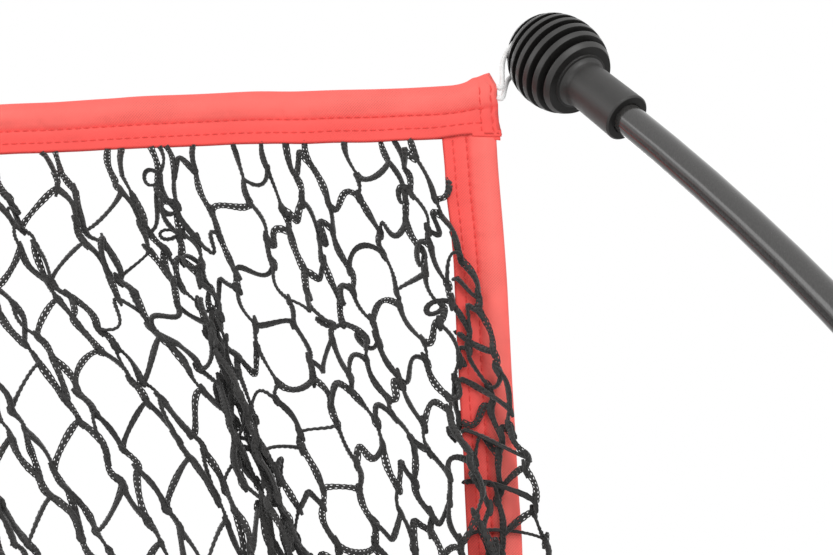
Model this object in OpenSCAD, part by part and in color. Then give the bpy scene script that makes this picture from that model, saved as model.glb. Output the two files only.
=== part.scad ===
// Portable bow-frame pitching net. A slack knitted net hangs in a sleeved border, and two bent
// poles over a take-apart tubular base hold its top corners. Millimetres, +Z up. The thrower
// stands at -Y, the pocket of the net and the legs reach back to +Y, and the net's face is in
// the plane y = 0. The origin is on the ground under the middle of the whole object.

/* [Net face] */
// Width of the net's face over its border
face_w = 2134; // [1900:1:2400]
// Height of the net's face over its border
face_h = 2085; // [1700:1:2300]
// Width of the border sleeve
border_w = 27; // [22:1:36]
// Thickness of the border sleeve
border_t = 3.2; // [2:0.1:6]
// Gap between the border and the highest thing on the front bar, a button or a foot
border_gap = 1; // [0.6:0.1:6]

/* [Pocket net] */
// How far the belly of the slack net hangs behind the face
pocket_depth = 430; // [250:10:500]
// How far the middle of the slack net sags below its even spread
pocket_sag = 300; // [0:10:340]
// How low the belly sits: 1 is half way down, more is lower
belly_drop = 2; // [1:0.1:2.5]
// How full the pocket is towards its sides
side_fullness = 3; // [2:1:5]
// Thickness of a net strand
strand_d = 4; // [3:0.5:7]
// Whole meshes across the net
meshes_across = 13; // [6:1:14]
// Whole meshes down the net
meshes_down = 9; // [6:1:10]
// Space between the net's edge strand and the border
net_seat = 0.3; // [0.2:0.1:1]

/* [Base tubes] */
// Outside diameter of the base tubes
tube_d = 25.4; // [22:0.1:32]
// Wall of the base tubes
tube_wall = 1.5; // [1:0.1:2]
// Length of the middle tube of the front bar
centre_len = 760; // [500:10:1000]
// How far the front bar runs on past the border at each end
bar_overrun = 4; // [2:1:30]
// Length of a necked end inside its socket
joint_len = 70; // [60:1:90]
// Length over which a tube necks down
neck_len = 4; // [2:0.5:10]
// Distance from the middle of the front bar to a leg
leg_x = 850; // [700:10:950]
// Length of the stub that takes a leg, from the front bar's axis
stub_len = 105; // [95:1:140]
// Distance from the front bar's axis to the rear end of a leg
leg_len = 1010; // [800:10:1200]

/* [Spring buttons] */
// Diameter of a button's pin
button_d = 6.4; // [5:0.1:8]
// How far a button stands out of the outer tube
button_rise = 3; // [2:0.1:4]
// Diameter of the flange under a button
flange_d = 9; // [8:0.1:10]
// Thickness of that flange
flange_t = 1; // [0.8:0.1:1.5]
// Thickness of the leaf spring
leaf_t = 0.8; // [0.5:0.1:1]
// Width of the leaf spring
leaf_w = 8; // [6:0.5:8]
// Length of the leaf spring ahead of its button
leaf_len = 22; // [18:1:26]

/* [Feet] */
// Height of the tubes' axis above the ground
axis_h = 16; // [14.5:0.5:22]
// Length of tube that a foot covers
foot_grip = 30; // [20:1:50]
// Wall of a foot
foot_wall = 2.8; // [2:0.1:4]
// Width of a foot's flat sole
sole_w = 22; // [16:1:26]
// Depth of the grip grooves in a sole
sole_groove = 1; // [0.5:0.1:1.5]

/* [Bow poles] */
// Outside diameter of a pole
pole_d = 16; // [12:0.5:19]
// Wall of a pole
pole_wall = 3; // [2:0.5:4]
// Slope of the pole below the horizon at its top end
tip_fall = 42; // [38:1:48]
// Turn of the pole's top end from straight outward to straight back
tip_turn = 47.7; // [42:0.1:52]
// Distance from the front bar's axis back to the pole socket
socket_y = 600; // [520:10:680]
// Length of a pole socket, from the leg's axis to its mouth
socket_len = 115; // [100:1:150]
// Length of pole inside the socket
socket_grip = 85; // [60:1:90]
// Wall of a pole socket
socket_wall = 2.4; // [1.5:0.1:4]
// Length of the thickened rim at the socket's mouth
rim_len = 10; // [5:1:20]
// How far that rim stands proud
rim_proud = 1.4; // [0.5:0.1:3]
// Length of a ferrule over the joint of two pole sections
ferrule_len = 76; // [50:1:100]
// Wall of a ferrule
ferrule_wall = 1.2; // [0.8:0.1:2]
// Diameter of the shock cord inside a pole
cord_d = 5; // [4:0.5:7]
// Length of the anchors at the ends of the shock cord
anchor_len = 12; // [8:1:20]
// Distance from the end of a pole's bend to the middle of an anchor
anchor_at = 30; // [20:1:34]

/* [Ball cap] */
// Largest diameter of the ball
ball_d = 50; // [44:1:60]
// Distance from the ball's middle to its tip
ball_nose = 31; // [28:0.5:36]
// Distance from the ball's middle to the face at its neck
ball_neck = 19.7; // [18:0.1:20]
// Number of discs that make up the ball
fin_count = 7; // [5:1:7]
// Distance from one disc to the next
fin_pitch = 6.65; // [6:0.05:6.8]
// Thickness of a disc at its rim
fin_t = 2.95; // [2:0.05:3.4]
// Depth of the grooves between the discs
groove_depth = 5.5; // [5:0.1:7]
// Diameter of the collar where it leaves the ball
collar_root_d = 24.3; // [23:0.1:30]
// Diameter of the collar at its mouth
collar_mouth_d = 25; // [24:0.1:32]
// Radius of the step around the collar's root
root_step_r = 15; // [14:0.5:17]
// Height of that step
root_step_h = 1; // [0.5:0.1:2]
// Height of the blend from that step into the collar
root_blend = 4; // [2:0.5:8]
// Distance from the ball's middle to the collar's mouth
collar_reach = 60; // [55:1:80]
// Length of pole inside the cap
cap_grip = 54; // [40:1:60]

/* [Corner loops and straps] */
// Diameter of the elastic that hooks a net corner to its ball cap
elastic_d = 2.6; // [2.4:0.1:3.4]
// Distance from the net's corner out to the ball's middle
ball_out = 33; // [29:1:45]
// Height of the ball's middle above the top of the border
ball_up = 7; // [0:1:20]
// Depth below the border's top edge where the elastic leaves it
elastic_drop = 7; // [6:0.5:14]
// Distance between the elastic's two runs at the border
elastic_gap = 6; // [4.5:0.5:9]
// Width of a strap that ties the lower border to the front bar
strap_w = 25; // [15:1:40]
// Thickness of that strap
strap_t = 1.2; // [0.8:0.1:1.4]
// Height of the strap's tab behind the border
strap_tab = 22; // [10:1:26]
// Distance from the middle of the front bar to the first strap
strap_first = 90; // [60:1:110]
// Distance from one strap to the next
strap_pitch = 200; // [190:1:220]
// Distance from the border's end to the strap at its corner
strap_corner = 47; // [40:1:70]

/* [Fits] */
// Clearance around a necked end in its tube
slip = 0.3; // [0.2:0.05:0.4]
// Clearance around a pole in its socket, ferrule or cap
pole_slip = 0.2; // [0.1:0.05:0.4]
// Clearance around a button in its holes
button_slip = 0.35; // [0.3:0.05:0.5]
// Gap where one piece rests on the next
seat = 0.3; // [0.2:0.05:0.5]

/* [Hidden] */
$fn = 64;
LEFT = -1;
RIGHT = 1;
ACROSS = [0, 90, 0];
BACKWARD = [-90, 0, 0];
red = [0.86, 0.16, 0.15];
black = [0.08, 0.08, 0.09];
steel = [0.16, 0.16, 0.17];
bright = [0.72, 0.73, 0.75];
white = [0.92, 0.92, 0.90];

// Base tubes and their necked ends
tube_r = tube_d / 2;
bore_r = tube_r - tube_wall;
spigot_r = bore_r - slip;
spigot_bore_r = spigot_r - tube_wall;
foot_front_x = face_w / 2 + bar_overrun;
joint_x = centre_len / 2;
foot_r = axis_h - 0.4;

// The front bar lies this far ahead of the middle of the object's depth
mid_y = (leg_len + seat + foot_wall - foot_r) / 2;

// Face and border heights
bar_top = axis_h + max(tube_r + button_rise, foot_r);
face_low = bar_top + border_gap;
face_top = face_low + face_h;
net_half_w = face_w / 2 - border_w - net_seat;
net_top = face_top - border_w - net_seat;
net_low = face_low + border_w + net_seat;

// Spring buttons, measured up from the tube's axis
button_r = button_d / 2;
hole_r = button_r + button_slip;
button_top = tube_r + button_rise;
flange_top = sqrt(pow(spigot_bore_r, 2) - pow(flange_d / 2, 2)) - seat;
flange_low = flange_top - flange_t;
leaf_top = flange_low - seat;
leaf_bottom = -sqrt(pow(spigot_bore_r, 2) - pow(leaf_w / 2, 2)) + 0.1;
leaf_bend_r = (leaf_top - leaf_bottom) / 2;

// The bow: it leaves the ball along tip_dir, follows one arc and ends in a straight run
// to the leg. The arc's centre lies in the plane of tip_dir and the socket's seat.
function unit(v) = v / norm(v);
tip_dir = [cos(tip_fall) * cos(tip_turn), cos(tip_fall) * sin(tip_turn), -sin(tip_fall)];
ball_at = [face_w / 2 + ball_out, 0, face_top + ball_up];
arc_start = ball_at + collar_reach * tip_dir;
socket_seat = [leg_x, socket_y, axis_h];
span = socket_seat - arc_start;
inward = unit(span - (span * tip_dir) * tip_dir);
bow_r = (span * span - pow(socket_len, 2)) / (2 * (span * inward));
bow_centre = arc_start + bow_r * inward;
to_seat = socket_seat - bow_centre;
bow_angle = atan2(to_seat * tip_dir, -(to_seat * inward)) - atan2(socket_len, bow_r);
bow_normal = cross(-inward, tip_dir);
section_angle = bow_angle / 3;
ferrule_angle = ferrule_len / bow_r * 180 / PI;
pole_r = pole_d / 2;
pole_bore_r = pole_r - pole_wall;

// Ball cap
ball_r = ball_d / 2;
first_fin = ball_neck - fin_t / 2;
nose_steps = 7;
function rim(z) = ball_r * sqrt(max(0, 1 - pow(z / ball_nose, 2)));
function fin_z(k) = first_fin - k * fin_pitch;
function groove_z(k) = fin_z(k) - fin_pitch / 2;
function groove_r(k) = rim(groove_z(k)) - groove_depth;

// Elastic loop in the groove next to the ball's nose
loop_groove = fin_count - 2;
loop_r = groove_r(loop_groove) + elastic_d / 2 + pole_slip;
loop_centre = ball_at + groove_z(loop_groove) * tip_dir;
loop_clear_r = rim(fin_z(loop_groove)) + pole_slip;
corner_at = [face_w / 2 + seat, 0, face_top - elastic_drop];
corner_out = corner_at - loop_centre;
loop_side = unit(corner_out - (corner_out * tip_dir) * tip_dir);
loop_up = cross(tip_dir, loop_side);
corner_dist = corner_out * loop_side;
loop_open = acos(loop_r / corner_dist);
loop_run = sqrt(pow(loop_clear_r, 2) - pow(loop_r, 2));
loop_turns = 20;
loop_sides = 8;

// Pocket net: u runs from -1 to 1 across the net, and v from 0 to 1 down it
steps_u = 2 * meshes_across;
steps_v = 2 * meshes_down;
function fullness(u) = 1 - pow(abs(u), side_fullness);
function net_point(u, v) = [
    net_half_w * u,
    pocket_depth * fullness(u) * sin(180 * pow(v, belly_drop)),
    net_top - (net_top - net_low) * v - pocket_sag * fullness(u) * sin(180 * v)
];
function net_normal(u, v) = abs(u) == 1 || v == 0 || v == 1
    ? [0, 1, 0]
    : unit(cross(net_point(u, v - 0.01) - net_point(u, v + 0.01),
                 net_point(u + 0.01, v) - net_point(u - 0.01, v)));
function knot(i, j) = net_point(2 * i / steps_u - 1, j / steps_v);
function knot_normal(i, j) = net_normal(2 * i / steps_u - 1, j / steps_v);

// ---- Shared shapes ----

// The pieces are drawn with the front bar over y = 0, and this centres them on the origin
module centred() {
    translate([0, -mid_y, 0]) children();
}

// A piece drawn on the right, or its mirror image on the left
module on_side(side) {
    if (side == RIGHT) children();
    else mirror([1, 0, 0]) children();
}

// A place on the bow: origin on its axis, +Y along it towards the socket, X out of the bend
module on_bow(angle) {
    multmatrix([
        [-inward[0], tip_dir[0], bow_normal[0], bow_centre[0]],
        [-inward[1], tip_dir[1], bow_normal[1], bow_centre[1]],
        [-inward[2], tip_dir[2], bow_normal[2], bow_centre[2]],
        [0, 0, 0, 1]
    ])
    rotate([0, 0, angle])
    translate([bow_r, 0, 0])
    children();
}

// A bent run with the section its children draw, from a place on the bow towards +Y
module arc(angle) {
    translate([-bow_r, 0, 0])
    rotate_extrude(angle = angle, $fn = 256)
    translate([bow_r, 0])
    children();
}

module bent(from, to) {
    on_bow(from) arc(to - from) children();
}

module ring(outer, inner) {
    difference() {
        circle(outer);
        circle(inner);
    }
}

// A straight tube from the origin along +Z
module pipe(outer, inner, len) {
    difference() {
        cylinder(r = outer, h = len);
        translate([0, 0, -1]) cylinder(r = inner, h = len + 2);
    }
}

// A tube along +Z that starts with a necked end, with the hole for its button facing -X
module necked_tube(len) {
    difference() {
        rotate_extrude()
            polygon([
                [spigot_bore_r, 0],
                [spigot_r, 0],
                [spigot_r, joint_len + seat],
                [tube_r, joint_len + seat + neck_len],
                [tube_r, len],
                [bore_r, len],
                [bore_r, joint_len + seat + neck_len],
                [spigot_bore_r, joint_len + seat]
            ]);
        translate([0, 0, joint_len / 2]) rotate([0, -90, 0]) cylinder(r = hole_r, h = tube_d);
    }
}

// ---- Border ----

module sleeve(len) {
    flat = border_w - border_t;
    linear_extrude(len, center = true) {
        square([border_t, flat], center = true);
        for (end = [-1, 1]) translate([0, end * flat / 2]) circle(d = border_t);
    }
}

module border_across(z) {
    color(red) translate([0, 0, z]) rotate(ACROSS) rotate([0, 0, 90]) sleeve(face_w);
}

module border_side(side) {
    color(red)
        translate([side * (face_w - border_w) / 2, 0, (face_low + face_top) / 2])
        rotate([0, 0, 90])
        sleeve(face_h - 2 * border_w);
}

// ---- Net ----

// One panel of the net: every mesh whose middle lies in the given range of steps. A mesh is a
// diamond with its corners on the knots, or half of one at the net's edge, and each mesh owns
// half of the strands round it.
module net_panel(from_u, to_u, from_v, to_v) {
    function inside(i, j) = i >= from_u && i <= to_u && j >= from_v && j <= to_v;
    function corners(i, j) = [
        for (c = [[i - 1, j], [i, j + 1], [i + 1, j], [i, j - 1]])
            if (c[0] >= 0 && c[0] <= steps_u && c[1] >= 0 && c[1] <= steps_v) c
    ];
    function beyond(a, b, i, j) = [a[0] + b[0] - i, a[1] + b[1] - j];
    cells = [
        for (i = [from_u:to_u], j = [from_v:to_v]) if ((i + j) % 2 == 1) [i, j]
    ];
    rings = [for (c = cells) corners(c[0], c[1])];
    starts = [for (k = 0, at = 0; k <= len(cells); at = at + (k < len(cells) ? len(rings[k]) : 0), k = k + 1) at];
    wide = to_u - from_u + 3;
    tall = to_v - from_v + 3;
    lattice = wide * tall;
    holes = starts[len(cells)];

    // Corner of a mesh's hole, drawn in by half a strand from both its sides
    function inset(ring, k) =
        let (
            n = len(ring),
            here = knot(ring[k][0], ring[k][1]),
            next = knot(ring[(k + 1) % n][0], ring[(k + 1) % n][1]),
            last = knot(ring[(k + n - 1) % n][0], ring[(k + n - 1) % n][1]),
            to_next = unit(next - here),
            to_last = unit(last - here)
        )
        here + unit(to_next + to_last) * strand_d / norm(to_next - to_last);
    function lift(i, j) = knot_normal(i, j) * strand_d / 2;

    outer = [for (i = [from_u - 1:to_u + 1], j = [from_v - 1:to_v + 1])
        let (a = min(max(i, 0), steps_u), b = min(max(j, 0), steps_v)) [knot(a, b), lift(a, b)]];
    inner = [for (ring = rings, k = [0:len(ring) - 1]) [inset(ring, k), lift(ring[k][0], ring[k][1])]];
    points = concat(
        [for (p = outer) p[0] + p[1]], [for (p = inner) p[0] + p[1]],
        [for (p = outer) p[0] - p[1]], [for (p = inner) p[0] - p[1]]
    );
    back = lattice + holes;
    function at_knot(c) = (c[0] - from_u + 1) * tall + c[1] - from_v + 1;

    // A quad as two triangles, and a panel's own edge, split the same way from both sides of it
    function quad(a, b, c, d) = [[a, b, c], [a, c, d]];
    function wall(a, b, forward) = forward
        ? quad(b, a, back + a, back + b)
        : quad(a, back + a, back + b, b);
    faces = [
        for (m = [0:len(cells) - 1], k = [0:len(rings[m]) - 1])
            let (
                ring = rings[m],
                n = len(ring),
                a = ring[k],
                b = ring[(k + 1) % n],
                outer_a = at_knot(a),
                outer_b = at_knot(b),
                inner_a = lattice + starts[m] + k,
                inner_b = lattice + starts[m] + (k + 1) % n,
                other = beyond(a, b, cells[m][0], cells[m][1]),
                edge = (a + b) / 2 == cells[m] || !inside(other[0], other[1]),
                sides = concat(
                    quad(outer_a, outer_b, inner_b, inner_a),
                    quad(back + inner_a, back + inner_b, back + outer_b, back + outer_a),
                    quad(inner_a, inner_b, back + inner_b, back + inner_a),
                    edge ? wall(outer_a, outer_b, a[0] < b[0]) : []
                )
            )
            each sides
    ];
    color(black) polyhedron(points, faces, convexity = 6);
}

// Panels by thirds, split where a row or column of meshes ends
cut_u = [0, round(steps_u / 3), round(steps_u * 2 / 3), steps_u + 1];
cut_v = [0, round(steps_v / 3), round(steps_v * 2 / 3), steps_v + 1];
module net_at(column, row) {
    net_panel(cut_u[column], cut_u[column + 1] - 1, cut_v[row], cut_v[row + 1] - 1);
}

// ---- Elastic loops and straps ----

// A round cord through the given points, its section turned to keep one side on the axis given
module cord(path, d, axis) {
    n = len(path);
    rings = [
        for (k = [0:n - 1])
            let (
                along = unit(path[min(k + 1, n - 1)] - path[max(k - 1, 0)]),
                side = unit(axis - (axis * along) * along),
                up = cross(along, side)
            )
            for (s = [0:loop_sides - 1])
                path[k] + d / 2 * (cos(360 * s / loop_sides) * side + sin(360 * s / loop_sides) * up)
    ];
    skin = [
        for (k = [0:n - 2], s = [0:loop_sides - 1])
            let (
                a = k * loop_sides + s,
                b = k * loop_sides + (s + 1) % loop_sides,
                c = a + loop_sides,
                e = b + loop_sides
            )
            each [[a, b, e], [a, e, c]]
    ];
    first = [for (s = [1:loop_sides - 2]) [0, s + 1, s]];
    base = (n - 1) * loop_sides;
    last = [for (s = [1:loop_sides - 2]) [base, base + s, base + s + 1]];
    polyhedron(rings, concat(skin, first, last), convexity = 4);
}

// The loop leaves the border's end, clears the rim of a disc, drops into the groove next to
// the nose, goes round the far side of the ball and comes back the same way
module corner_loop(side) {
    function on_loop(a) = loop_centre + loop_r * (cos(a) * loop_side + sin(a) * loop_up);
    function leaving(sign) =
        on_loop(sign * loop_open)
        + loop_run * (sin(loop_open) * loop_side - sign * cos(loop_open) * loop_up);
    upper = loop_up[2] > 0 ? 1 : -1;
    top = corner_at + [0, 0, elastic_gap / 2];
    low = corner_at - [0, 0, elastic_gap / 2];
    first = upper == 1 ? top : low;
    last = upper == 1 ? low : top;
    straight = [elastic_d, 0, 0];
    path = concat(
        [first, first + straight, leaving(1)],
        [for (k = [0:loop_turns]) on_loop(loop_open + k * (360 - 2 * loop_open) / loop_turns)],
        [leaving(-1), last + straight, last]
    );
    color(white) on_side(side) cord(path, elastic_d, tip_dir);
}

// A hook-and-loop band round the front bar, with its tab sewn behind the border
module strap(x) {
    band_r = tube_r + strap_t + 0.1;
    tab_y = border_t / 2;
    translate([x, 0, axis_h]) rotate(ACROSS) linear_extrude(strap_w, center = true) {
        ring(band_r, tube_r + 0.1);
        translate([axis_h - face_low - strap_tab, tab_y])
            square([strap_tab + face_low - axis_h - tube_r, strap_t]);
    }
}

module bottom_straps() {
    inner = [for (k = [0:3]) strap_first + k * strap_pitch];
    color(black) for (x = concat(inner, face_w / 2 - strap_corner), side = [LEFT, RIGHT])
        strap(side * x);
}

// ---- Bow poles ----

module ball_cap(side) {
    discs = [
        for (k = [0:fin_count - 2]) each [
            [rim(fin_z(k) + fin_t / 2), fin_z(k) + fin_t / 2],
            [rim(fin_z(k)), fin_z(k)],
            [rim(fin_z(k) - fin_t / 2), fin_z(k) - fin_t / 2],
            [groove_r(k), fin_z(k) - fin_t / 2],
            [groove_r(k), fin_z(k + 1) + fin_t / 2]
        ]
    ];
    nose_z = fin_z(fin_count - 1) + fin_t / 2;
    nose = [
        for (k = [0:nose_steps])
            let (z = nose_z - (nose_z + ball_nose) * sin(90 * k / nose_steps)) [rim(z), z]
    ];
    blend = [
        for (a = [0:22.5:90])
            [root_step_r - (root_step_r - collar_root_d / 2) * sin(a),
             ball_neck + root_step_h + root_blend * (1 - cos(a))]
    ];
    bore = pole_r + pole_slip;
    bore_end = collar_reach - cap_grip - seat;
    outline = concat(
        [[0, bore_end], [bore, bore_end], [bore, collar_reach]],
        [[collar_mouth_d / 2 - 0.8, collar_reach], [collar_mouth_d / 2, collar_reach - 0.8]],
        [for (k = [len(blend) - 1:-1:0]) blend[k]],
        [[root_step_r, ball_neck]],
        discs, nose
    );
    color(black) on_side(side) on_bow(0) translate([0, -collar_reach, 0])
        rotate(BACKWARD) rotate_extrude() polygon(outline);
}

// A run of pole, from one third of the bow to another
module bent_pole(third) {
    bent(third * section_angle, (third + 1) * section_angle) ring(pole_r, pole_bore_r);
}

module pole_upper(side) {
    color(steel) on_side(side) union() {
        bent_pole(0);
        on_bow(0) rotate([90, 0, 0]) pipe(pole_r, pole_bore_r, cap_grip);
    }
}

module pole_middle(side) {
    color(steel) on_side(side) bent_pole(1);
}

module pole_lower(side) {
    color(steel) on_side(side) union() {
        on_bow(bow_angle) mirror([0, 1, 0]) arc(section_angle) ring(pole_r, pole_bore_r);
        on_bow(bow_angle) rotate(BACKWARD) pipe(pole_r, pole_bore_r, socket_grip);
    }
}

module ferrules(side) {
    inside = pole_r + pole_slip;
    color(bright) on_side(side) for (joint = [1, 2])
        bent(joint * section_angle - ferrule_angle / 2, joint * section_angle + ferrule_angle / 2)
            ring(inside + ferrule_wall, inside);
}

module shock_cord(side) {
    over = anchor_at / bow_r * 180 / PI;
    anchor_r = pole_bore_r - pole_slip;
    color(red) on_side(side) union() {
        bent(-over, bow_angle + over) circle(d = cord_d);
        on_bow(0) rotate([90, 0, 0]) translate([0, 0, anchor_at - anchor_len / 2])
            cylinder(r = anchor_r, h = anchor_len);
        on_bow(bow_angle) rotate(BACKWARD) translate([0, 0, anchor_at - anchor_len / 2])
            cylinder(r = anchor_r, h = anchor_len);
    }
}

module pole_socket(side) {
    inside = pole_r + pole_slip;
    outside = inside + socket_wall;
    color(steel) on_side(side) difference() {
        on_bow(bow_angle) rotate(BACKWARD) difference() {
            union() {
                cylinder(r = outside, h = socket_len);
                cylinder(r = outside + rim_proud, h = rim_len);
            }
            translate([0, 0, -1]) cylinder(r = inside, h = socket_grip + seat + 1);
        }
        translate([leg_x, socket_y - socket_len, axis_h]) rotate(BACKWARD)
            cylinder(r = tube_r, h = 2 * socket_len);
    }
}

// ---- Base ----

module button_hole() {
    cylinder(r = hole_r, h = tube_d);
}

module base_bar_centre() {
    color(steel) difference() {
        translate([-joint_x, 0, axis_h]) rotate(ACROSS) pipe(tube_r, bore_r, centre_len);
        for (side = [LEFT, RIGHT])
            translate([side * (joint_x - joint_len / 2), 0, axis_h]) button_hole();
    }
}

module base_bar_outer(side) {
    color(steel) on_side(side) translate([joint_x - joint_len, 0, axis_h]) rotate(ACROSS)
        necked_tube(foot_front_x - joint_x + joint_len);
}

module leg_stub(side) {
    color(steel) on_side(side) difference() {
        translate([leg_x, 0, axis_h]) rotate(BACKWARD) pipe(tube_r, bore_r, stub_len);
        translate([leg_x - tube_d, 0, axis_h]) rotate(ACROSS) cylinder(r = tube_r, h = 2 * tube_d);
        translate([leg_x, stub_len - joint_len / 2, axis_h]) button_hole();
    }
}

module leg(side) {
    color(steel) on_side(side) translate([leg_x, stub_len - joint_len, axis_h])
        rotate([0, 0, 90]) rotate(ACROSS) necked_tube(leg_len - stub_len + joint_len);
}

// A moulded foot on a tube's end: the origin is on the tube's end, the tube comes from -X
module foot() {
    inner_r = tube_r + pole_slip;
    difference() {
        union() {
            translate([-foot_grip, 0, 0]) rotate(ACROSS) rotate_extrude()
                polygon([
                    [0, 0], [inner_r + foot_wall / 2, 0], [foot_r, foot_wall],
                    [foot_r, foot_grip], [foot_r - foot_wall, foot_grip + foot_wall + seat],
                    [0, foot_grip + foot_wall + seat]
                ]);
            translate([-foot_grip + foot_wall, -sole_w / 2, -axis_h])
                cube([foot_grip, sole_w, axis_h]);
        }
        translate([-foot_grip - 1, 0, 0]) rotate(ACROSS) cylinder(r = inner_r, h = foot_grip + 1 + seat);
        for (k = [1:4])
            translate([-foot_grip + foot_wall + k * foot_grip / 5 - 1, -sole_w, -axis_h - 1])
                cube([2, 2 * sole_w, 1 + sole_groove]);
    }
}

module foot_front(side) {
    color(black) on_side(side) translate([foot_front_x, 0, axis_h]) foot();
}

module foot_rear(side) {
    color(black) on_side(side) translate([leg_x, leg_len, axis_h]) rotate([0, 0, 90]) foot();
}

// ---- Spring buttons: origin on the tube's axis under the button, +X towards the open end ----

module button() {
    rotate_extrude() {
        square([button_r, button_top - button_r]);
        translate([0, button_top - button_r]) intersection() {
            circle(button_r);
            square(button_r);
        }
    }
}

module flanged_button() {
    color(bright) difference() {
        union() {
            button();
            translate([0, 0, flange_low]) cylinder(d = flange_d, h = flange_t);
        }
        translate([0, 0, flange_low - tube_d]) cylinder(r = tube_r, h = tube_d);
    }
}

module leaf() {
    bend_z = leaf_bottom + leaf_bend_r;
    color(bright) rotate([90, 0, 0]) linear_extrude(leaf_w, center = true) {
        for (z = [leaf_bottom, leaf_top - leaf_t])
            translate([-flange_d / 2, z]) square([leaf_len - leaf_bend_r + flange_d / 2, leaf_t]);
        translate([leaf_len - leaf_bend_r, bend_z]) intersection() {
            ring(leaf_bend_r, leaf_bend_r - leaf_t);
            translate([0, -leaf_bend_r]) square([leaf_bend_r, 2 * leaf_bend_r]);
        }
    }
}

// The two places where a button sits: in the front bar and in a leg's stub
module in_bar(side) {
    on_side(side) translate([joint_x - joint_len / 2, 0, axis_h]) mirror([1, 0, 0]) children();
}

module in_leg(side) {
    on_side(side) translate([leg_x, stub_len - joint_len / 2, axis_h]) rotate([0, 0, -90]) children();
}

centred() border_across(face_top - border_w / 2);  // border_top
centred() border_across(face_low + border_w / 2);  // border_bottom
centred() border_side(LEFT);  // border_left
centred() border_side(RIGHT);  // border_right
centred() net_at(0, 0);  // net_upper_left
centred() net_at(1, 0);  // net_upper_centre
centred() net_at(2, 0);  // net_upper_right
centred() net_at(0, 1);  // net_middle_left
centred() net_at(1, 1);  // net_middle_centre
centred() net_at(2, 1);  // net_middle_right
centred() net_at(0, 2);  // net_lower_left
centred() net_at(1, 2);  // net_lower_centre
centred() net_at(2, 2);  // net_lower_right
centred() corner_loop(LEFT);  // corner_loop_left
centred() corner_loop(RIGHT);  // corner_loop_right
centred() bottom_straps();
centred() ball_cap(LEFT);  // ball_cap_left
centred() ball_cap(RIGHT);  // ball_cap_right
centred() pole_upper(LEFT);  // pole_upper_left
centred() pole_upper(RIGHT);  // pole_upper_right
centred() pole_middle(LEFT);  // pole_middle_left
centred() pole_middle(RIGHT);  // pole_middle_right
centred() pole_lower(LEFT);  // pole_lower_left
centred() pole_lower(RIGHT);  // pole_lower_right
centred() ferrules(LEFT);  // ferrules_left
centred() ferrules(RIGHT);  // ferrules_right
centred() shock_cord(LEFT);  // shock_cord_left
centred() shock_cord(RIGHT);  // shock_cord_right
centred() pole_socket(LEFT);  // pole_socket_left
centred() pole_socket(RIGHT);  // pole_socket_right
centred() base_bar_centre();
centred() base_bar_outer(LEFT);  // base_bar_left
centred() base_bar_outer(RIGHT);  // base_bar_right
centred() leg_stub(LEFT);  // leg_stub_left
centred() leg_stub(RIGHT);  // leg_stub_right
centred() leg(LEFT);  // leg_left
centred() leg(RIGHT);  // leg_right
centred() foot_front(LEFT);  // foot_front_left
centred() foot_front(RIGHT);  // foot_front_right
centred() foot_rear(LEFT);  // foot_rear_left
centred() foot_rear(RIGHT);  // foot_rear_right
centred() in_bar(LEFT) flanged_button();  // button_bar_left
centred() in_bar(RIGHT) flanged_button();  // button_bar_right
centred() in_leg(LEFT) flanged_button();  // button_leg_left
centred() in_leg(RIGHT) flanged_button();  // button_leg_right
centred() in_bar(LEFT) leaf();  // leaf_bar_left
centred() in_bar(RIGHT) leaf();  // leaf_bar_right
centred() in_leg(LEFT) leaf();  // leaf_leg_left
centred() in_leg(RIGHT) leaf();  // leaf_leg_right
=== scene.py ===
"""The looks of the pitching target net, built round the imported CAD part. Metres, +Z up."""

import math

import bpy
import numpy as np
from mathutils import Matrix, Vector


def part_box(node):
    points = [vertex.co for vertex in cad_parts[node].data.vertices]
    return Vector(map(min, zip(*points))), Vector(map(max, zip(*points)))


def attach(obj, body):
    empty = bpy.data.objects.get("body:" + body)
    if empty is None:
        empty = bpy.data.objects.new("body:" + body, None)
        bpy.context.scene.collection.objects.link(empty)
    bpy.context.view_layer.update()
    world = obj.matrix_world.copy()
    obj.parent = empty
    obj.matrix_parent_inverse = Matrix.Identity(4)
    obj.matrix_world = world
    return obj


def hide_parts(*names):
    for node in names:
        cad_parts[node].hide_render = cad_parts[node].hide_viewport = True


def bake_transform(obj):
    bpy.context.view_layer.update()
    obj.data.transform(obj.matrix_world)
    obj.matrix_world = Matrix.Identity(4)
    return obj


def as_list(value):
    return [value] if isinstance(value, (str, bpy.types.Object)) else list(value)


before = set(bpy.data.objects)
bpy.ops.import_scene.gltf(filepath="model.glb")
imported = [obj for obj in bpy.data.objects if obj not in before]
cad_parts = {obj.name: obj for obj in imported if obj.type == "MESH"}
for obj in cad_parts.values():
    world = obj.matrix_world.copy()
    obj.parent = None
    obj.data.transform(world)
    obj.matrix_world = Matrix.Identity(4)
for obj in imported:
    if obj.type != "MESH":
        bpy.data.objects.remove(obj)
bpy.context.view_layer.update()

# ---- Places and sizes, from the frame ----

MM = 0.001
BODY = "frame"
SIDES = {"left": -1, "right": 1}

top_low, top_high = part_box("border_top")
FACE_Y = (top_low.y + top_high.y) / 2
FACE_HALF = top_high.x
FACE_TOP = top_high.z
BORDER_W = top_high.z - top_low.z
BORDER_T = top_high.y - top_low.y
FACE_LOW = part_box("border_bottom")[0].z
NET_SEAT = 0.3 * MM    # gap between the net and the border, as in the part's source
NET_HALF = -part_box("border_left")[1].x - NET_SEAT
NET_TOP = top_low.z - NET_SEAT
NET_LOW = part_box("border_bottom")[1].z + NET_SEAT
BAND_LOW = NET_TOP - 3 * MM    # down to here the net's strands lie flat, sewn in the top band
bar_low, bar_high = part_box("base_bar_centre")
BAR_Z, TUBE_R = (bar_low.z + bar_high.z) / 2, (bar_high.z - bar_low.z) / 2

RIGHT, BACK, UP = np.eye(3)

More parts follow.
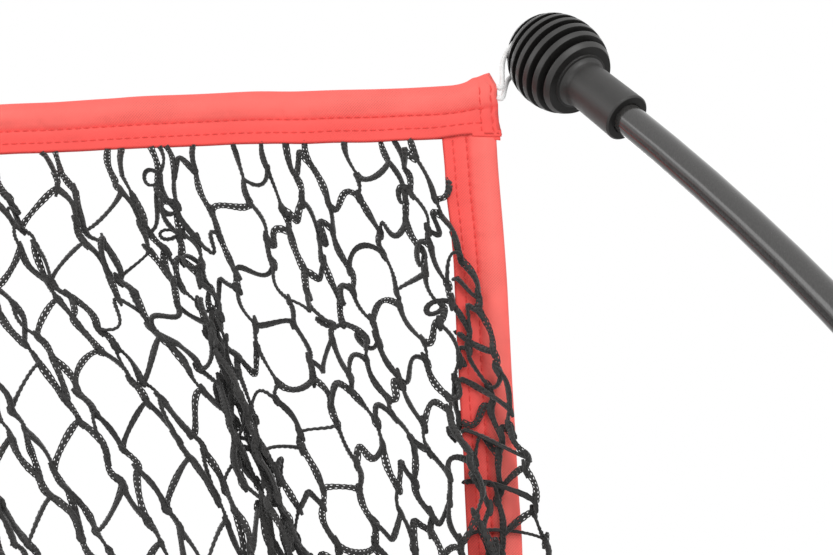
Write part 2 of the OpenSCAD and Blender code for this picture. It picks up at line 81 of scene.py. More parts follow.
# The axis of the right ball, from its middle towards the pole, as in the part's source
TIP_FALL, TIP_TURN = math.radians(42), math.radians(47.7)
TIP = np.array([math.cos(TIP_FALL) * math.cos(TIP_TURN), math.cos(TIP_FALL) * math.sin(TIP_TURN),
                -math.sin(TIP_FALL)])

rng = np.random.default_rng(20260)


# ---- Small helpers ----

def smooth(low, high, x):
    """0 below low, 1 above high, and a smooth step between them."""
    t = np.clip((np.asarray(x, float) - low) / (high - low), 0, 1)
    return t * t * (3 - 2 * t)


def fade(low, high, x):
    """1 below low, 0 above high, and a smooth step between them."""
    return 1 - smooth(low, high, x)


def unit(v):
    """Vectors along the last axis, at length 1."""
    v = np.asarray(v, float)
    return v / np.maximum(np.linalg.norm(v, axis=-1, keepdims=True), 1e-12)


def waves(at, scale, seed):
    """A smooth random height of about size 1 at each place, that turns about every scale."""
    knots = np.random.default_rng(seed).normal(size=4096)
    at = np.asarray(at, float) / scale
    low = np.floor(at).astype(int)
    part = smooth(0, 1, at - low)
    return knots[low % len(knots)] * (1 - part) + knots[(low + 1) % len(knots)] * part


def placed(name, data):
    """A new object in the scene."""
    piece = bpy.data.objects.new(name, data)
    bpy.context.scene.collection.objects.link(piece)
    return piece


def mesh_object(name, points, faces, material, slot, rides=True):
    """A piece from points (n, 3) and faces, a list of index arrays (m, sides), riding on the frame."""
    mesh = bpy.data.meshes.new(name)
    loops = np.concatenate([f.ravel() for f in faces]).astype(np.int32)
    sizes = np.concatenate([np.full(len(f), f.shape[1]) for f in faces]).astype(np.int32)
    starts = np.concatenate([[0], np.cumsum(sizes)[:-1]]).astype(np.int32)
    mesh.vertices.add(len(points))
    mesh.vertices.foreach_set("co", np.asarray(points, np.float32).ravel())
    mesh.loops.add(len(loops))
    mesh.loops.foreach_set("vertex_index", loops)
    mesh.polygons.add(len(sizes))
    mesh.polygons.foreach_set("loop_start", starts)
    mesh.update(calc_edges=True)
    mesh.validate()
    mesh.polygons.foreach_set("use_smooth", np.ones(len(mesh.polygons), bool))
    mesh.materials.append(material)
    piece = placed(name, mesh)
    if rides:
        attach(piece, BODY)
    return piece


def tube_faces(rings, sides):
    """Faces of a closed tube whose rings of points follow each other: quads, and its two ends."""
    ring = np.arange(rings - 1)[:, None] * sides
    side = np.arange(sides)[None, :]
    turned = (side + 1) % sides
    quads = np.stack([ring + side, ring + turned, ring + sides + turned, ring + sides + side], -1)
    ends = np.array([np.arange(sides)[::-1], (rings - 1) * sides + np.arange(sides)])
    return quads.reshape(-1, 4), ends


def tubes(centres, across, out, half_across, half_out, sides):
    """Points and faces of many tubes. centres is (tubes, rings, 3), and the rest is fitted to it."""
    count, rings = centres.shape[:2]
    across, out = (np.broadcast_to(axis, centres.shape)[:, :, None] for axis in (across, out))
    half_across, half_out = (
        np.broadcast_to(half, (count, rings))[..., None, None] / math.cos(math.pi / sides)
        for half in (half_across, half_out)
    )
    turn = 2 * np.pi * (np.arange(sides) + 0.5) / sides
    points = (centres[:, :, None] + half_across * np.cos(turn)[:, None] * across
              + half_out * np.sin(turn)[:, None] * out)
    quads, ends = tube_faces(rings, sides)
    step = (np.arange(count) * rings * sides)[:, None, None]
    return points.reshape(-1, 3), [(quads + step).reshape(-1, 4), (ends + step).reshape(-1, sides)]


def along_path(path, start_side):
    """Two directions across a path (n, 3) that don't turn about it, the first from start_side."""
    tangent = unit(np.gradient(path, axis=0))
    across = np.empty_like(path)
    side = np.asarray(start_side, float)
    for k, t in enumerate(tangent):
        side = side - (side @ t) * t
        side = side / np.linalg.norm(side)
        across[k] = side
    return across, np.cross(tangent, across)


# ---- Materials ----

class Nodes:
    """The nodes of a material or world, with short calls to add and join them. An input is given by
    its name, with _ for a space, or by its number, as _0."""

    def __init__(self, owner):
        owner.use_nodes = True
        self.owner, self.tree = owner, owner.node_tree
        self.place = self.add("TexCoord").outputs["Object"]

    def add(self, kind, operation=None, **inputs):
        node = self.tree.nodes.new("ShaderNode" + kind)
        if operation:
            node.operation = operation
        return self.put(node, **inputs)

    def put(self, node, **inputs):
        for name, value in inputs.items():
            name = name.replace("_", " ").strip()
            socket = node.inputs[int(name) if name.isdigit() else name]
            if isinstance(value, bpy.types.NodeSocket):
                self.tree.links.new(value, socket)
            else:
                socket.default_value = value
        return node

    def stretched(self, scale=(1, 1, 1), turn=0.0):
        """The place, scaled and turned about Y."""
        return self.add("Mapping", Vector=self.place, Scale=scale, Rotation=(0, turn, 0)).outputs[0]

    def noise(self, scale, detail=3, roughness=0.55, vector=None):
        return self.add("TexNoise", Scale=scale, Detail=detail, Roughness=roughness,
                        Vector=vector or self.place).outputs["Fac"]

    def wave(self, turn, **inputs):
        return self.add("TexWave", Vector=self.stretched(turn=turn), **inputs).outputs["Fac"]

    def math(self, operation, a, b=0.0):
        return self.add("Math", operation, _0=a, _1=b).outputs[0]

    def scaled(self, colour, by):
        return self.add("VectorMath", "SCALE", _0=colour, Scale=by).outputs[0]

    def ramp(self, value, *stops):
        """A colour ramp through stops of (place, colour)."""
        node = self.add("ValToRGB", Fac=value)
        elements = node.color_ramp.elements
        while len(elements) < len(stops):
            elements.new(0.5)
        for element, (at, colour) in zip(elements, stops):
            element.position = at
            element.color = (*colour, 1)
        return node.outputs["Color"]

    def shades(self, value, base, *stops):
        """A ramp through darker and lighter shades of a colour, as stops of (place, factor)."""
        return self.ramp(value, *(
            (at, tuple(min(1.0, c * factor) for c in base)) for at, factor in stops))

    def levels(self, value, low, high, to_low, to_high):
        return self.add("MapRange", Value=value, From_Min=low, From_Max=high,
                        To_Min=to_low, To_Max=to_high).outputs["Result"]

    def toward_tip(self):
        """How squarely a surface faces along its ball's axis, towards the pole. The end faces of the
        discs and of the collar face it most, and get painted shade from it."""
        place = self.add("SeparateXYZ", Vector=self.place).outputs
        facing = self.add("NewGeometry").outputs["Normal"]
        normal = self.add("SeparateXYZ", Vector=facing).outputs
        outward = self.math("MULTIPLY", normal["X"], self.math("SIGN", place["X"]))
        total = 0.0
        for value, share in zip((outward, normal["Y"], normal["Z"]), TIP):
            total = self.math("ADD", total, self.math("MULTIPLY", value, share))
        return total

    def bump(self, height, distance, strength, under=None):
        below = {} if under is None else {"Normal": under}
        return self.add("Bump", Height=height, Distance=distance, Strength=strength,
                        **below).outputs["Normal"]

    def finish(self, **sockets):
        self.put(self.tree.nodes["Principled BSDF"], **sockets)
        return self.owner


def material(name):
    return Nodes(bpy.data.materials.new(name))


def linear(*screen):
    """A colour given as 0 to 255 on screen, as the shader takes it."""
    return tuple(
        c / 12.92 if c <= 0.04045 else ((c + 0.055) / 1.055) ** 2.4 for c in (v / 255 for v in screen)
    )


WEAVE = 1.05 * MM    # distance between the border cloth's thicker threads


def border_cloth():
    """Plain-woven polyester. The colour across the band is painted light and shade: the sewn strip is
    painted a deeper red than the loose fold, with a painted shadow line at the open edge and along
    the stitch rows and a painted highlight over the fold; the crossing threads show as fine slanting
    lines, and it is creased, with painted shade in the creases, and a little soiled."""
    n = material("border_cloth")
    weave = n.math("ADD", *(
        n.math("MULTIPLY", n.wave(math.radians(turn), Scale=0.314 / WEAVE, Distortion=0.5, Detail=1,
                                  Detail_Scale=3), share)
        for turn, share in ((45, 0.65), (-45, 0.35))
    ))
    across = n.add("Attribute")
    across.attribute_name = "across"
    # painted light and shade across the band: a painted shadow line at the open edge, painted shade on the
    # sewn strip and along the stitch rows, and a painted highlight over the loose fold
    painted_shading_across = n.ramp(across.outputs["Fac"], *((at, linear(*screen)) for at, *screen in (
        (0, 214, 52, 46), (0.05, 252, 84, 77), (0.19, 250, 82, 76), (0.42, 252, 90, 83),
        (0.46, 240, 74, 68), (0.55, 252, 102, 94), (0.8, 253, 112, 103), (1, 252, 104, 96))))
    creases_and_painted_shade = n.noise(34, 5, 0.62, n.stretched((1, 1, 1.6)))
    soil = n.noise(16, 4, 0.7)
    # the crease noise also darkens the colour in its low parts: painted shade in the creases
    tone = n.math("ADD", n.levels(creases_and_painted_shade, 0.3, 0.7, 0.90, 1.06), n.levels(weave, 0.1, 0.9, -0.13, 0.11))
    tone = n.math("MULTIPLY", tone, n.levels(soil, 0.56, 0.72, 1.0, 0.93))
    normal = n.bump(creases_and_painted_shade, 1.0 * MM, 0.4, n.bump(weave, 0.14 * MM, 0.6))
    return n.finish(Base_Color=n.scaled(painted_shading_across, tone), Roughness=n.levels(weave, 0, 1, 0.6, 0.78),
                    Normal=normal, Sheen_Weight=0.2, Sheen_Roughness=0.45)


def thread(name, colour):
    """Sewing thread: twisted plies seen as fine slanting ridges."""
    n = material(name)
    return n.finish(Base_Color=n.shades(n.noise(900, 2), colour, (0.3, 0.8), (0.7, 1.15)), Roughness=0.6,
                    Normal=n.bump(n.wave(0.6, Scale=160, Distortion=0.3), 0.05 * MM, 0.6))


def net_yarn():
    """Knitted polyester yarn: dark, fuzzy, with paler worn fibres."""
    n = material("net_yarn")
    fibres, worn = n.noise(1400, 4, 0.7), n.noise(45, 3, 0.6)
    tone = n.math("ADD", n.math("MULTIPLY", fibres, 0.6), n.math("MULTIPLY", worn, 0.4))
    return n.finish(Base_Color=n.shades(tone, linear(37, 36, 35), (0.3, 0.4), (0.5, 1), (0.72, 2.3)),
                    Roughness=n.levels(fibres, 0.3, 0.7, 0.7, 0.9),
                    Normal=n.bump(fibres, 0.25 * MM, 0.8), Sheen_Weight=0.25, Sheen_Roughness=0.5)


def ball_plastic():
    """Moulded nylon with a fine spark finish, rounded edges and faint handling marks, and painted shade
    on the end faces of the discs and collar.
    """
    n = material("ball_plastic")
    marks = n.noise(120, 5, 0.65)
    colour = n.shades(marks, linear(50, 49, 48), (0.3, 0.8), (0.6, 1), (0.8, 1.5))
    # painted shade: faces pointing down along the axis, the end faces of the discs and collar, are darkened
    # to half, with less specular
    painted_end_face_shade = n.levels(n.toward_tip(), 0.75, 0.95, 1.0, 0.5)
    soft_edges = n.add("Bevel", Radius=0.9 * MM).outputs["Normal"]
    return n.finish(Base_Color=n.scaled(colour, painted_end_face_shade), Roughness=n.levels(marks, 0.3, 0.75, 0.36, 0.54),
                    Specular_IOR_Level=n.levels(painted_end_face_shade, 0.5, 1.0, 0.2, 0.5),
                    Normal=n.bump(n.noise(2600, 2, 0.5), 0.06 * MM, 0.5, soft_edges))


def pole_gloss():
    """A pultruded fibreglass pole: glossy resin over faint fibres, with a few scuffs."""
    n = material("pole_gloss")
    streaks = n.noise(60, 4, 0.6, n.stretched((30, 30, 1.5)))
    scuffs = n.noise(420, 4, 0.7)
    rough = n.math("ADD", n.levels(scuffs, 0.55, 0.8, 0.14, 0.36), n.levels(streaks, 0, 1, 0, 0.06))
    return n.finish(Base_Color=n.shades(streaks, linear(58, 57, 56), (0.3, 0.75), (0.7, 1.25)),
                    Roughness=rough, Normal=n.bump(streaks, 0.05 * MM, 0.3),
                    Coat_Weight=0.6, Coat_Roughness=0.10)


def rubbed(name, base, grain, grain_deep, marks, stops, rough):
    """A dark grained skin with paler marks on it, such as powder coat or rubber."""
    n = material(name)
    marks = n.noise(*marks)
    return n.finish(Base_Color=n.shades(marks, base, *stops), Roughness=n.levels(marks, 0.3, 0.8, *rough),
                    Normal=n.bump(n.noise(*grain), grain_deep, 0.6))


def steel(name, tone, rough, lines):
    """Plated or drawn steel with fine lines along its turned or drawn direction."""
    n = material(name)
    brushed = n.noise(80, 4, 0.6, n.stretched(lines))
    return n.finish(Base_Color=n.shades(n.noise(260, 4, 0.7), tone, (0.3, 0.78), (0.65, 1)), Metallic=1.0,
                    Roughness=n.levels(brushed, 0.3, 0.7, rough, rough + 0.16),
                    Normal=n.bump(brushed, 0.03 * MM, 0.5))


def elastic_cover(name, colour, seen_through):
    """Covered elastic: a fine braid that lets some light through where it is stretched."""
    n = material(name)
    braid = n.math("MULTIPLY", *(
        n.wave(math.radians(turn), Scale=110, Distortion=0.4) for turn in (38, -38)))
    return n.finish(Base_Color=n.shades(n.noise(300, 3), colour, (0.3, 0.86), (0.7, 1)), Roughness=0.62,
                    Normal=n.bump(braid, 0.1 * MM, 0.7), Sheen_Weight=0.3,
                    Subsurface_Weight=seen_through, Subsurface_Radius=(2 * MM, 2 * MM, 2 * MM))


def webbing():
    """Black hook-and-loop webbing: ribs across, a fuzzy face."""
    n = material("strap_webbing")
    fuzz = n.noise(1100, 4, 0.75)
    ribs = n.bump(n.wave(0, Scale=70, Distortion=0.5, Detail=2), 0.15 * MM, 0.6)
    return n.finish(Base_Color=n.shades(fuzz, linear(36, 36, 38), (0.3, 0.6), (0.5, 1), (0.75, 1.9)),
                    Roughness=0.86, Normal=n.bump(fuzz, 0.2 * MM, 0.6, ribs), Sheen_Weight=0.4)


CLOTH = border_cloth()
SEAM_THREAD = thread("seam_thread", linear(236, 66, 60))
STRAP_THREAD = thread("strap_thread", linear(58, 58, 60))
YARN = net_yarn()
BALL = ball_plastic()
POLE = pole_gloss()
PAINT = rubbed("powder_coat", linear(38, 38, 40), (750, 2, 0.4), 0.08 * MM, (30, 6, 0.7),
               ((0.35, 0.85), (0.6, 1), (0.85, 1.7)), (0.32, 0.5))
RUBBER = rubbed("foot_rubber", linear(40, 40, 41), (1500, 3, 0.6), 0.12 * MM, (50, 5, 0.7),
                ((0.35, 0.8), (0.6, 1), (0.8, 2.0)), (0.7, 0.92))
FERRULE = steel("ferrule_steel", (0.56, 0.56, 0.58), 0.26, (4, 4, 60))
BUTTON = steel("button_steel", (0.62, 0.61, 0.59), 0.22, (60, 60, 4))
LEAF = steel("leaf_steel", (0.42, 0.43, 0.46), 0.3, (60, 4, 60))
ELASTIC = elastic_cover("elastic_white", linear(252, 251, 250), 0.9)
SHOCK = elastic_cover("shock_braid", linear(52, 50, 50), 0.0)
WEBBING = webbing()

NODE_MATERIALS = {
    "ball_cap": BALL, "pole_upper": POLE, "pole_middle": POLE, "pole_lower": POLE,
    "ferrules": FERRULE, "shock_cord": SHOCK, "pole_socket": PAINT, "base_bar": PAINT,
    "leg": PAINT, "foot": RUBBER, "button": BUTTON,
}


def dress_cad_nodes():
    for name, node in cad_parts.items():
        for start, material in NODE_MATERIALS.items():
            if name.startswith(start):
                node.data.materials.clear()
                node.data.materials.append(material)


# ---- Leaf springs ----

LEAF_HALF_W, LEAF_T = 4 * MM, 0.8 * MM
LEAF_CORNER = 2 * MM    # how far from its ends a leaf narrows


def make_leaves():
    """The springs that push the buttons out: strips bent double, whose lower leaf rests in the tube."""
    for at in ("bar_left", "bar_right", "leg_left", "leg_right"):
        low, high = (np.array(corner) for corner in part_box(f"leaf_{at}"))
        middle = (low + high) / 2
        inward = -math.copysign(1, middle[0]) * RIGHT if at.startswith("bar") else -BACK
        length = abs((high - low) @ inward)
        bend_r = (high[2] - low[2] - LEAF_T) / 2
        straight = length - bend_r - LEAF_T / 2
        ends = np.array([0, 0.3, 0.8, 1.4, 2.0]) * MM
        out = np.concatenate([ends, np.linspace(4 * MM, straight, 5)[:-1]])
        turn = np.linspace(-math.pi / 2, math.pi / 2, 19)
        run = np.concatenate([out, straight + bend_r * np.cos(turn), out[::-1]])
        rise = np.concatenate([0 * out - bend_r, bend_r * np.sin(turn), 0 * out + bend_r])
        path = middle + (run - length / 2)[:, None] * inward + rise[:, None] * UP
        across, normal = along_path(path, np.cross(UP, inward))
        from_end = np.concatenate([out, np.full(len(turn), straight), out[::-1]])
        half = LEAF_HALF_W * (1 - 0.4 * np.maximum(1 - from_end / LEAF_CORNER, 0) ** 2)
        strip = tubes(path[None], across, normal, half, LEAF_T / 2, 4)
        leaf = mesh_object(f"spring_leaf_{at}", *strip, LEAF, "leaf_steel", rides=False)
        leaf.data.shade_flat()
        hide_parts(f"leaf_{at}")
        foot, head = middle.copy(), middle.copy()
        foot[2], head[2] = low[2] + LEAF_T, high[2] - LEAF_T
        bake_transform(leaf)
        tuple(foot)
        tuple(head)


# ---- The slack net ----

# The mesh is laid like bricks: columns hang from the top border, and slack bars join each column
# to its neighbours at every other joint, to the left and to the right in turn. Where the net drifts
# outward most, the bars lean: they end one joint further down on the column nearer the middle
COLUMNS = 155    # columns across the net
ROWS = 156    # joints down a column
BAR_DOWN = 17.8 * MM    # length of a column's strand from joint to joint
PAIRED = 2.3 * MM    # how far each joint is drawn along its column towards its neighbour
BAR_OVER = 27.0 * MM    # longest slack bar from column to column
POCKET_DEPTH, POCKET_SAG = 0.430, 0.300    # how far the net's belly stands back and hangs down
BELLY_DROP, SIDE_FULLNESS = 2, 3    # powers: how low the belly lies, and how full its sides are
SETTLE_ROUNDS, QUICK_ROUNDS = 240, 60    # how often the joints are moved as the net settles

# Distances in mm from the side seam at which the first columns leave the top border
TIES = [0, 18, 29.5, 35, 53.5, 73.5, 84.5, 97, 112, 133, 146, 150, 155]
TIES += [at + beside for at in range(171, 380, 35) for beside in (0, 7)]
TIES_EVEN_OUT = (0.16, 0.60)    # shares of the height over which the columns become evenly spread
LEANING = (12, 40)    # the gaps between columns, from each side, in which the bars lean
SEAM_BARS = 1.7    # how much longer the bars at the side seams are than the others

SLANT_NEAR, SLANT_FAR = 0.34, 0.55    # how far the net drifts outward as it falls, near and far
SLANT_TURN = (0.13, 0.19)    # distances from the seam over which the near slant becomes the far one
SLANT_END = (0.34, 0.95)    # distances from the seam over which the drift dies out
STEEPER, STEEPER_FROM = 0.28, 0.08    # how much more the far part drifts from this depth on
DRIFT_DEEP = 0.75    # depth below the top at which the drift dies out
RISE = 0.20    # how much less deep the far joints hang, as their columns slant
FOLD_AT = 18 * MM    # the column along which the net folds over the border
FOLD_SLANT, FOLD_TURN, FOLD_LOW_SLANT = 0.46, 0.04, 0.235
MIDDLE_AT = 29.5 * MM    # the column that hangs over the border
SEAM_BAND_AT = 35 * MM    # the columns from here on gather beside the border
FREE_BAND_AT, FREE_BAND_SLANT, FREE_BAND_OPEN = 0.144, 0.32, 0.27    # and from here on in an open band
NEAR_FOLD = 0.13    # how far the low part of the corner comes to the camera

FINE_COLUMNS = 32    # columns and rows from the photographed corner that are knitted in full
FINE_ROWS = 20
STITCH = 2.35 * MM    # length of one stitch
EDGE_AT = 1.5 * MM    # distance of the two fine yarns from the middle of the strand
EDGE_R = 0.29 * MM
JOINT_RINGS = 17    # an odd number
FLAT_STRAND = 1.5 * MM, 0.8 * MM    # half width and half thickness


def pocket(u, v):
    """The even shape of the slack net: u from -1 to 1 across it, v from 0 to 1 down it."""
    full = 1 - np.abs(u) ** SIDE_FULLNESS
    return np.stack([
        NET_HALF * u,
        FACE_Y + POCKET_DEPTH * full * np.sin(np.pi * v ** BELLY_DROP),
        NET_TOP - (NET_TOP - NET_LOW) * v - POCKET_SAG * full * np.sin(np.pi * v),
    ], -1)


def larger(a, b, soft):
    """The larger of two values, with the corner between them rounded."""
    return (a + b + np.sqrt((a - b) ** 2 + soft ** 2)) / 2


def corner_drape(p, h):
    """How the net hangs beside a top corner. p is the distance from the side seam at the top, h the
    depth below it. Returns the new distance from the seam, how far it stands back, and how much it
    is gathered, from 0 to 1."""
    run = h * np.exp(-(h / DRIFT_DEEP) ** 4)
    far = smooth(*SLANT_TURN, p)
    drift = (SLANT_NEAR + (SLANT_FAR - SLANT_NEAR) * far) * run
    drift = drift + STEEPER * far * larger(h - STEEPER_FROM, 0, 30 * MM) * np.exp(-(h / 0.5) ** 4)
    loose = p - drift * fade(*SLANT_END, p)
    fold = FOLD_AT - FOLD_SLANT * run + (FOLD_SLANT - FOLD_LOW_SLANT) * larger(run - FOLD_TURN, 0, 10 * MM)
    over_border = np.minimum(-12 * MM - 0.1 * (run - 0.118), -12 * MM)
    seam_band = 10 * MM - 0.04 * run - 0.27 * np.maximum(run - 0.15, 0) + 0.12 * (p - SEAM_BAND_AT)
    free_band = FREE_BAND_AT - FREE_BAND_SLANT * run + FREE_BAND_OPEN * (p - FREE_BAND_AT)
    stop = fold + (over_border - fold) * smooth(FOLD_AT, MIDDLE_AT, p)
    stop = stop + (seam_band - stop) * smooth(MIDDLE_AT, SEAM_BAND_AT, p)
    stop = np.where(p > FREE_BAND_AT - 3 * MM, free_band, stop)
    held = larger(loose, stop, 3 * MM)
    distance = np.where(p < FOLD_AT, fold * p / FOLD_AT, held)
    gathered = smooth(-2 * MM, 5 * MM, stop - loose) * (p > FOLD_AT) * smooth(0.8, 0.4, h)
    low = smooth(0.10, 0.40, h) * smooth(0.15, 0.34, p) * np.exp(-(h / DRIFT_DEEP) ** 4)
    layer = 3 * MM + 12 * MM * smooth(0.01, 0.09, p) * smooth(0, 0.12, h)
    back = (layer * fade(0.4, 0.9, h) + NEAR_FOLD * low * fade(*SLANT_END, p))
    return distance, back * smooth(0, 0.02, h) * smooth(0, 0.01, p), gathered


def soft_noise(shape, reach, seed):
    """Random numbers on a grid, blurred over reach joints, at size 1."""
    values = np.random.default_rng(seed).normal(size=shape)
    weights = np.exp(-(np.arange(-3 * reach, 3 * reach + 1) / reach) ** 2 / 2)
    for axis in (0, 1):
        values = np.apply_along_axis(np.convolve, axis, values, weights, "same")
    return values / values.std()


def tied_columns():
    """Where the columns leave the top border, from -X to +X."""
    ties = np.array(TIES) * MM - NET_HALF
    count = COLUMNS + 1 - 2 * len(ties)
    middle = np.linspace(ties[-1], -ties[-1], count + 2)[1:-1]
    middle += (rng.normal(size=count) * 0.3 + waves(np.arange(count), 5, 5) * 0.5) * 13.5 * MM
    return np.concatenate([ties, np.sort(middle), -ties[::-1]])


def net_rest():
    """Target places of the joints, (COLUMNS + 1, ROWS + 1, 3), from the -X side and the top, and
    which of them are free to move."""
    column = np.arange(COLUMNS + 1)[:, None]
    row = np.arange(ROWS + 1)[None, :]
    v = row / ROWS + 0 * column
    even = np.linspace(-NET_HALF, NET_HALF, COLUMNS + 1)[:, None]
    u = (even + (tied_columns()[:, None] - even) * fade(*TIES_EVEN_OUT, v)) / NET_HALF
    place = pocket(u, v)
    for sign in (-1, 1):
        p = (1 - sign * u) * NET_HALF
        depth = NET_TOP - place[..., 2]
        far = smooth(0.10, 0.20, p) * fade(0.5, 0.95, p)
        depth = depth * (1 - RISE * far * np.exp(-(depth / 0.5) ** 2))
        distance, back, gathered = corner_drape(p, depth)
        mine = p < 1.0
        place[..., 2] = np.where(mine, NET_TOP - depth, place[..., 2])
        place[..., 0] = np.where(mine, sign * (NET_HALF - distance), place[..., 0])
        crowd = gathered * 9 * MM * np.sin(column * 2.3 + 1.5 * np.sin(row * 0.45))
        place[..., 1] += np.where(mine, back + crowd + 4 * MM * gathered, 0)
        tangled = gathered * smooth(MIDDLE_AT, SEAM_BAND_AT, p) * np.sin(column * 1.9 + row * 1.35)
        place[..., 0] += np.where(mine, 2.6 * MM * tangled, 0)
    folds = np.sin(u * 2 * np.pi * 9.5 + 1.7 * np.sin(v * 5)) + 0.6 * np.sin(u * 2 * np.pi * 17 + v * 4)
    place[..., 1] += folds * 7 * MM * np.sin(np.pi * v) * (1 - np.abs(u) ** 6)
    inner = np.ones(place.shape[:2])
    inner[0] = inner[-1] = 0
    inner[:, 0] = inner[:, -1] = 0
    sizes = np.array([2.4, 3.0, 2.5]) * MM
    rough = rng.normal(size=place.shape) * np.array([0.8, 1.0, 2.2]) * MM
    soft = np.stack([soft_noise(inner.shape, 2, seed) for seed in (3, 4, 6)], -1) * sizes
    rough[..., 0] += np.where((column + row) % 2 == 0, 1, -1) * 1.5 * MM
    place += (rough + soft) * inner[..., None]
    return place, inner


def clear_of_border(place):
    """The net passes behind the side borders, never through them, and stays off the ground."""
    beside = np.abs(place[..., 0]) > NET_HALF + 1 * MM
    least = FACE_Y + BORDER_T / 2 + 3.2 * MM
    place[..., 1] = np.where(beside, np.maximum(place[..., 1], least), place[..., 1])
    place[..., 2] = np.maximum(place[..., 2], 6 * MM)


def column_bars():
    """The joints at the upper and at the lower ends of the columns' strands."""
    a, b = (k.ravel() for k in np.meshgrid(np.arange(COLUMNS + 1), np.arange(ROWS), indexing="ij"))
    return (a, b), (a, b + 1)


def lean_and_turn():
    """How many joints lower the bars of each gap end, and which joints of each column they start from."""
    gap = np.arange(COLUMNS)
    leaning = ((gap >= LEANING[0]) & (gap < LEANING[1])).astype(int)
    lean = leaning - leaning[::-1]
    return lean, np.concatenate([[0], np.cumsum(lean + 1)])


def slack_bars():
    """The joints at the two ends of the slack bars between the columns."""
    lean, turn = lean_and_turn()
    a, b = (k.ravel() for k in np.meshgrid(np.arange(COLUMNS), np.arange(1, ROWS), indexing="ij"))
    end = b + lean[a]
    keep = ((b + turn[a]) % 2 == 0) & (end > 0) & (end < ROWS)
    return (a[keep], b[keep]), (a[keep] + 1, end[keep])


def settle(place, inner, rounds):
    """Lets the joints find their places: gravity pulls, no bar grows longer than it is, and a weak
    pull to the target shape stands for the stiffness of the knitting."""
    target = place.copy()
    free = inner[..., None]
    pull, fall, slack = 0.03, 0.2 * MM, 0.985
    sets = []
    for (first, second), longest, along in ((column_bars(), BAR_DOWN, 1), (slack_bars(), BAR_OVER, 0)):
        for start in (0, 1):
            mine = first[along] % 2 == start
            one, two = ([k[mine] for k in ends] for ends in (first, second))
            at_seam = (np.minimum(one[0], COLUMNS - two[0]) == 0) & (along == 0)
            sets.append((tuple(one), tuple(two), longest * np.where(at_seam, SEAM_BARS, 1)[:, None]))
    for _ in range(rounds):
        place = place + pull * (target - place) * free
        place[..., 2] -= fall * inner
        for first, second, longest in sets:
            gap = place[second] - place[first]
            long = np.linalg.norm(gap, axis=-1, keepdims=True)
            over = np.maximum(long - longest * slack, 0) / np.maximum(long, 1e-9)
            loose_a, loose_b = free[first], free[second]
            share = over * gap / np.maximum(loose_a + loose_b, 1)
            place[first] += share * loose_a
            place[second] -= share * loose_b
        clear_of_border(place)
    return place


def paired(place, inner):
    """Draws the joints of each column together in pairs, one to each side, as this knitting does."""
    starts = (np.arange(ROWS + 1)[None] + lean_and_turn()[1][:, None]) % 2 == 0
    along = np.where(starts, -PAIRED, PAIRED) * inner
    return place + along[..., None] * unit(np.gradient(place, axis=1))


def fitted(shape_at, length, most):
    """Curves of the given lengths: shape_at(size) draws them, and longer for a larger size."""
    low, high = np.zeros_like(length), np.full_like(length, most)
    halvings = 14
    for _ in range(halvings):
        middle = (low + high) / 2
        run = np.linalg.norm(np.diff(shape_at(middle), axis=1), axis=-1).sum(1)
        low, high = np.where(run < length, middle, low), np.where(run < length, high, middle)
    return shape_at((low + high) / 2)


def hanging_strands(starts, ends, samples, draw):
    """The columns' strands, near straight, each with a slight bow."""
    t = np.linspace(0, 1, samples)[None, :, None]
    bow = unit(draw.normal(size=starts.shape) * np.array([1, 1, 0.3]))
    straight = starts[:, None] + (ends - starts)[:, None] * t

    def bent(size):
        return straight + size[:, None, None] * np.sin(np.pi * t) * bow[:, None]

    chord = np.linalg.norm(ends - starts, axis=-1)
    length = chord * draw.uniform(1.005, 1.06, size=len(chord))
    return fitted(bent, length, BAR_DOWN * 0.6), length


def slack_strands(starts, ends, lines_a, lines_b, samples, draw):
    """The bars from column to column: they leave one joint along its column, up or down, and come
    into the next one the same way, as arches, hanging loops or S-bends. Where the columns are close
    together a bar sticks out as a round loop."""
    count = len(starts)
    chord = np.linalg.norm(ends - starts, axis=-1)
    kind = draw.random(count)
    leave = np.where(kind < 0.60, -1.0, 1.0)          # -1 is up, since lines run down
    arrive = np.where((kind < 0.40) | (kind > 0.86), -1.0, 1.0)
    sideways = draw.normal(size=(2, count, 3)) * np.array([0.30, 0.45, 0.20])
    sideways += (ends - starts) / np.maximum(chord, 1e-6)[:, None] * np.array([0.55, -0.55])[:, None, None]
    from_a = lines_a * leave[:, None] + sideways[0]
    from_b = lines_b * arrive[:, None] + sideways[1]
    close = fade(6 * MM, 7.5 * MM, chord)[:, None]
    out = draw.normal(size=(count, 3)) * np.array([0.9, 0.2, 0.4])
    out[:, 0] -= 0.8 * np.sign(starts[:, 0])
    spin = np.where(((ends - starts) * lines_a).sum(1) > 0, -1.0, 1.0)[:, None]
    from_a = from_a * (1 - close) + close * (out + spin * lines_a * 1.5)
    from_b = from_b * (1 - close) + close * (out - spin * lines_b * 1.5)
    t = np.linspace(0, 1, samples)[None, :, None]

    def bent(size):
        m = size[:, None, None]
        first, last = starts[:, None], ends[:, None]
        second, third = first + m * from_a[:, None], last + m * from_b[:, None]
        return ((1 - t) ** 3 * first + 3 * t * (1 - t) ** 2 * second
                + 3 * t ** 2 * (1 - t) * third + t ** 3 * last)

    length = BAR_OVER * draw.uniform(0.62, 1.05, size=count)
    length = np.maximum(length, chord * 1.04)
    return fitted(bent, length, BAR_OVER * 1.5), length


def strand_frames(curves, turn_start, turn_end):
    """Directions across and out of flat strands that turn about their own line."""
    tangent = unit(np.gradient(curves, axis=1))
    side = unit(np.cross(tangent, BACK) + np.array([1e-5, 0, 1e-5]))
    up = np.cross(side, tangent)
    t = np.linspace(0, 1, curves.shape[1])[None, :, None]
    turn = turn_start[:, None, None] * (1 - t) + turn_end[:, None, None] * t
    across = np.cos(turn) * side + np.sin(turn) * up
    return across, np.cross(tangent, across)


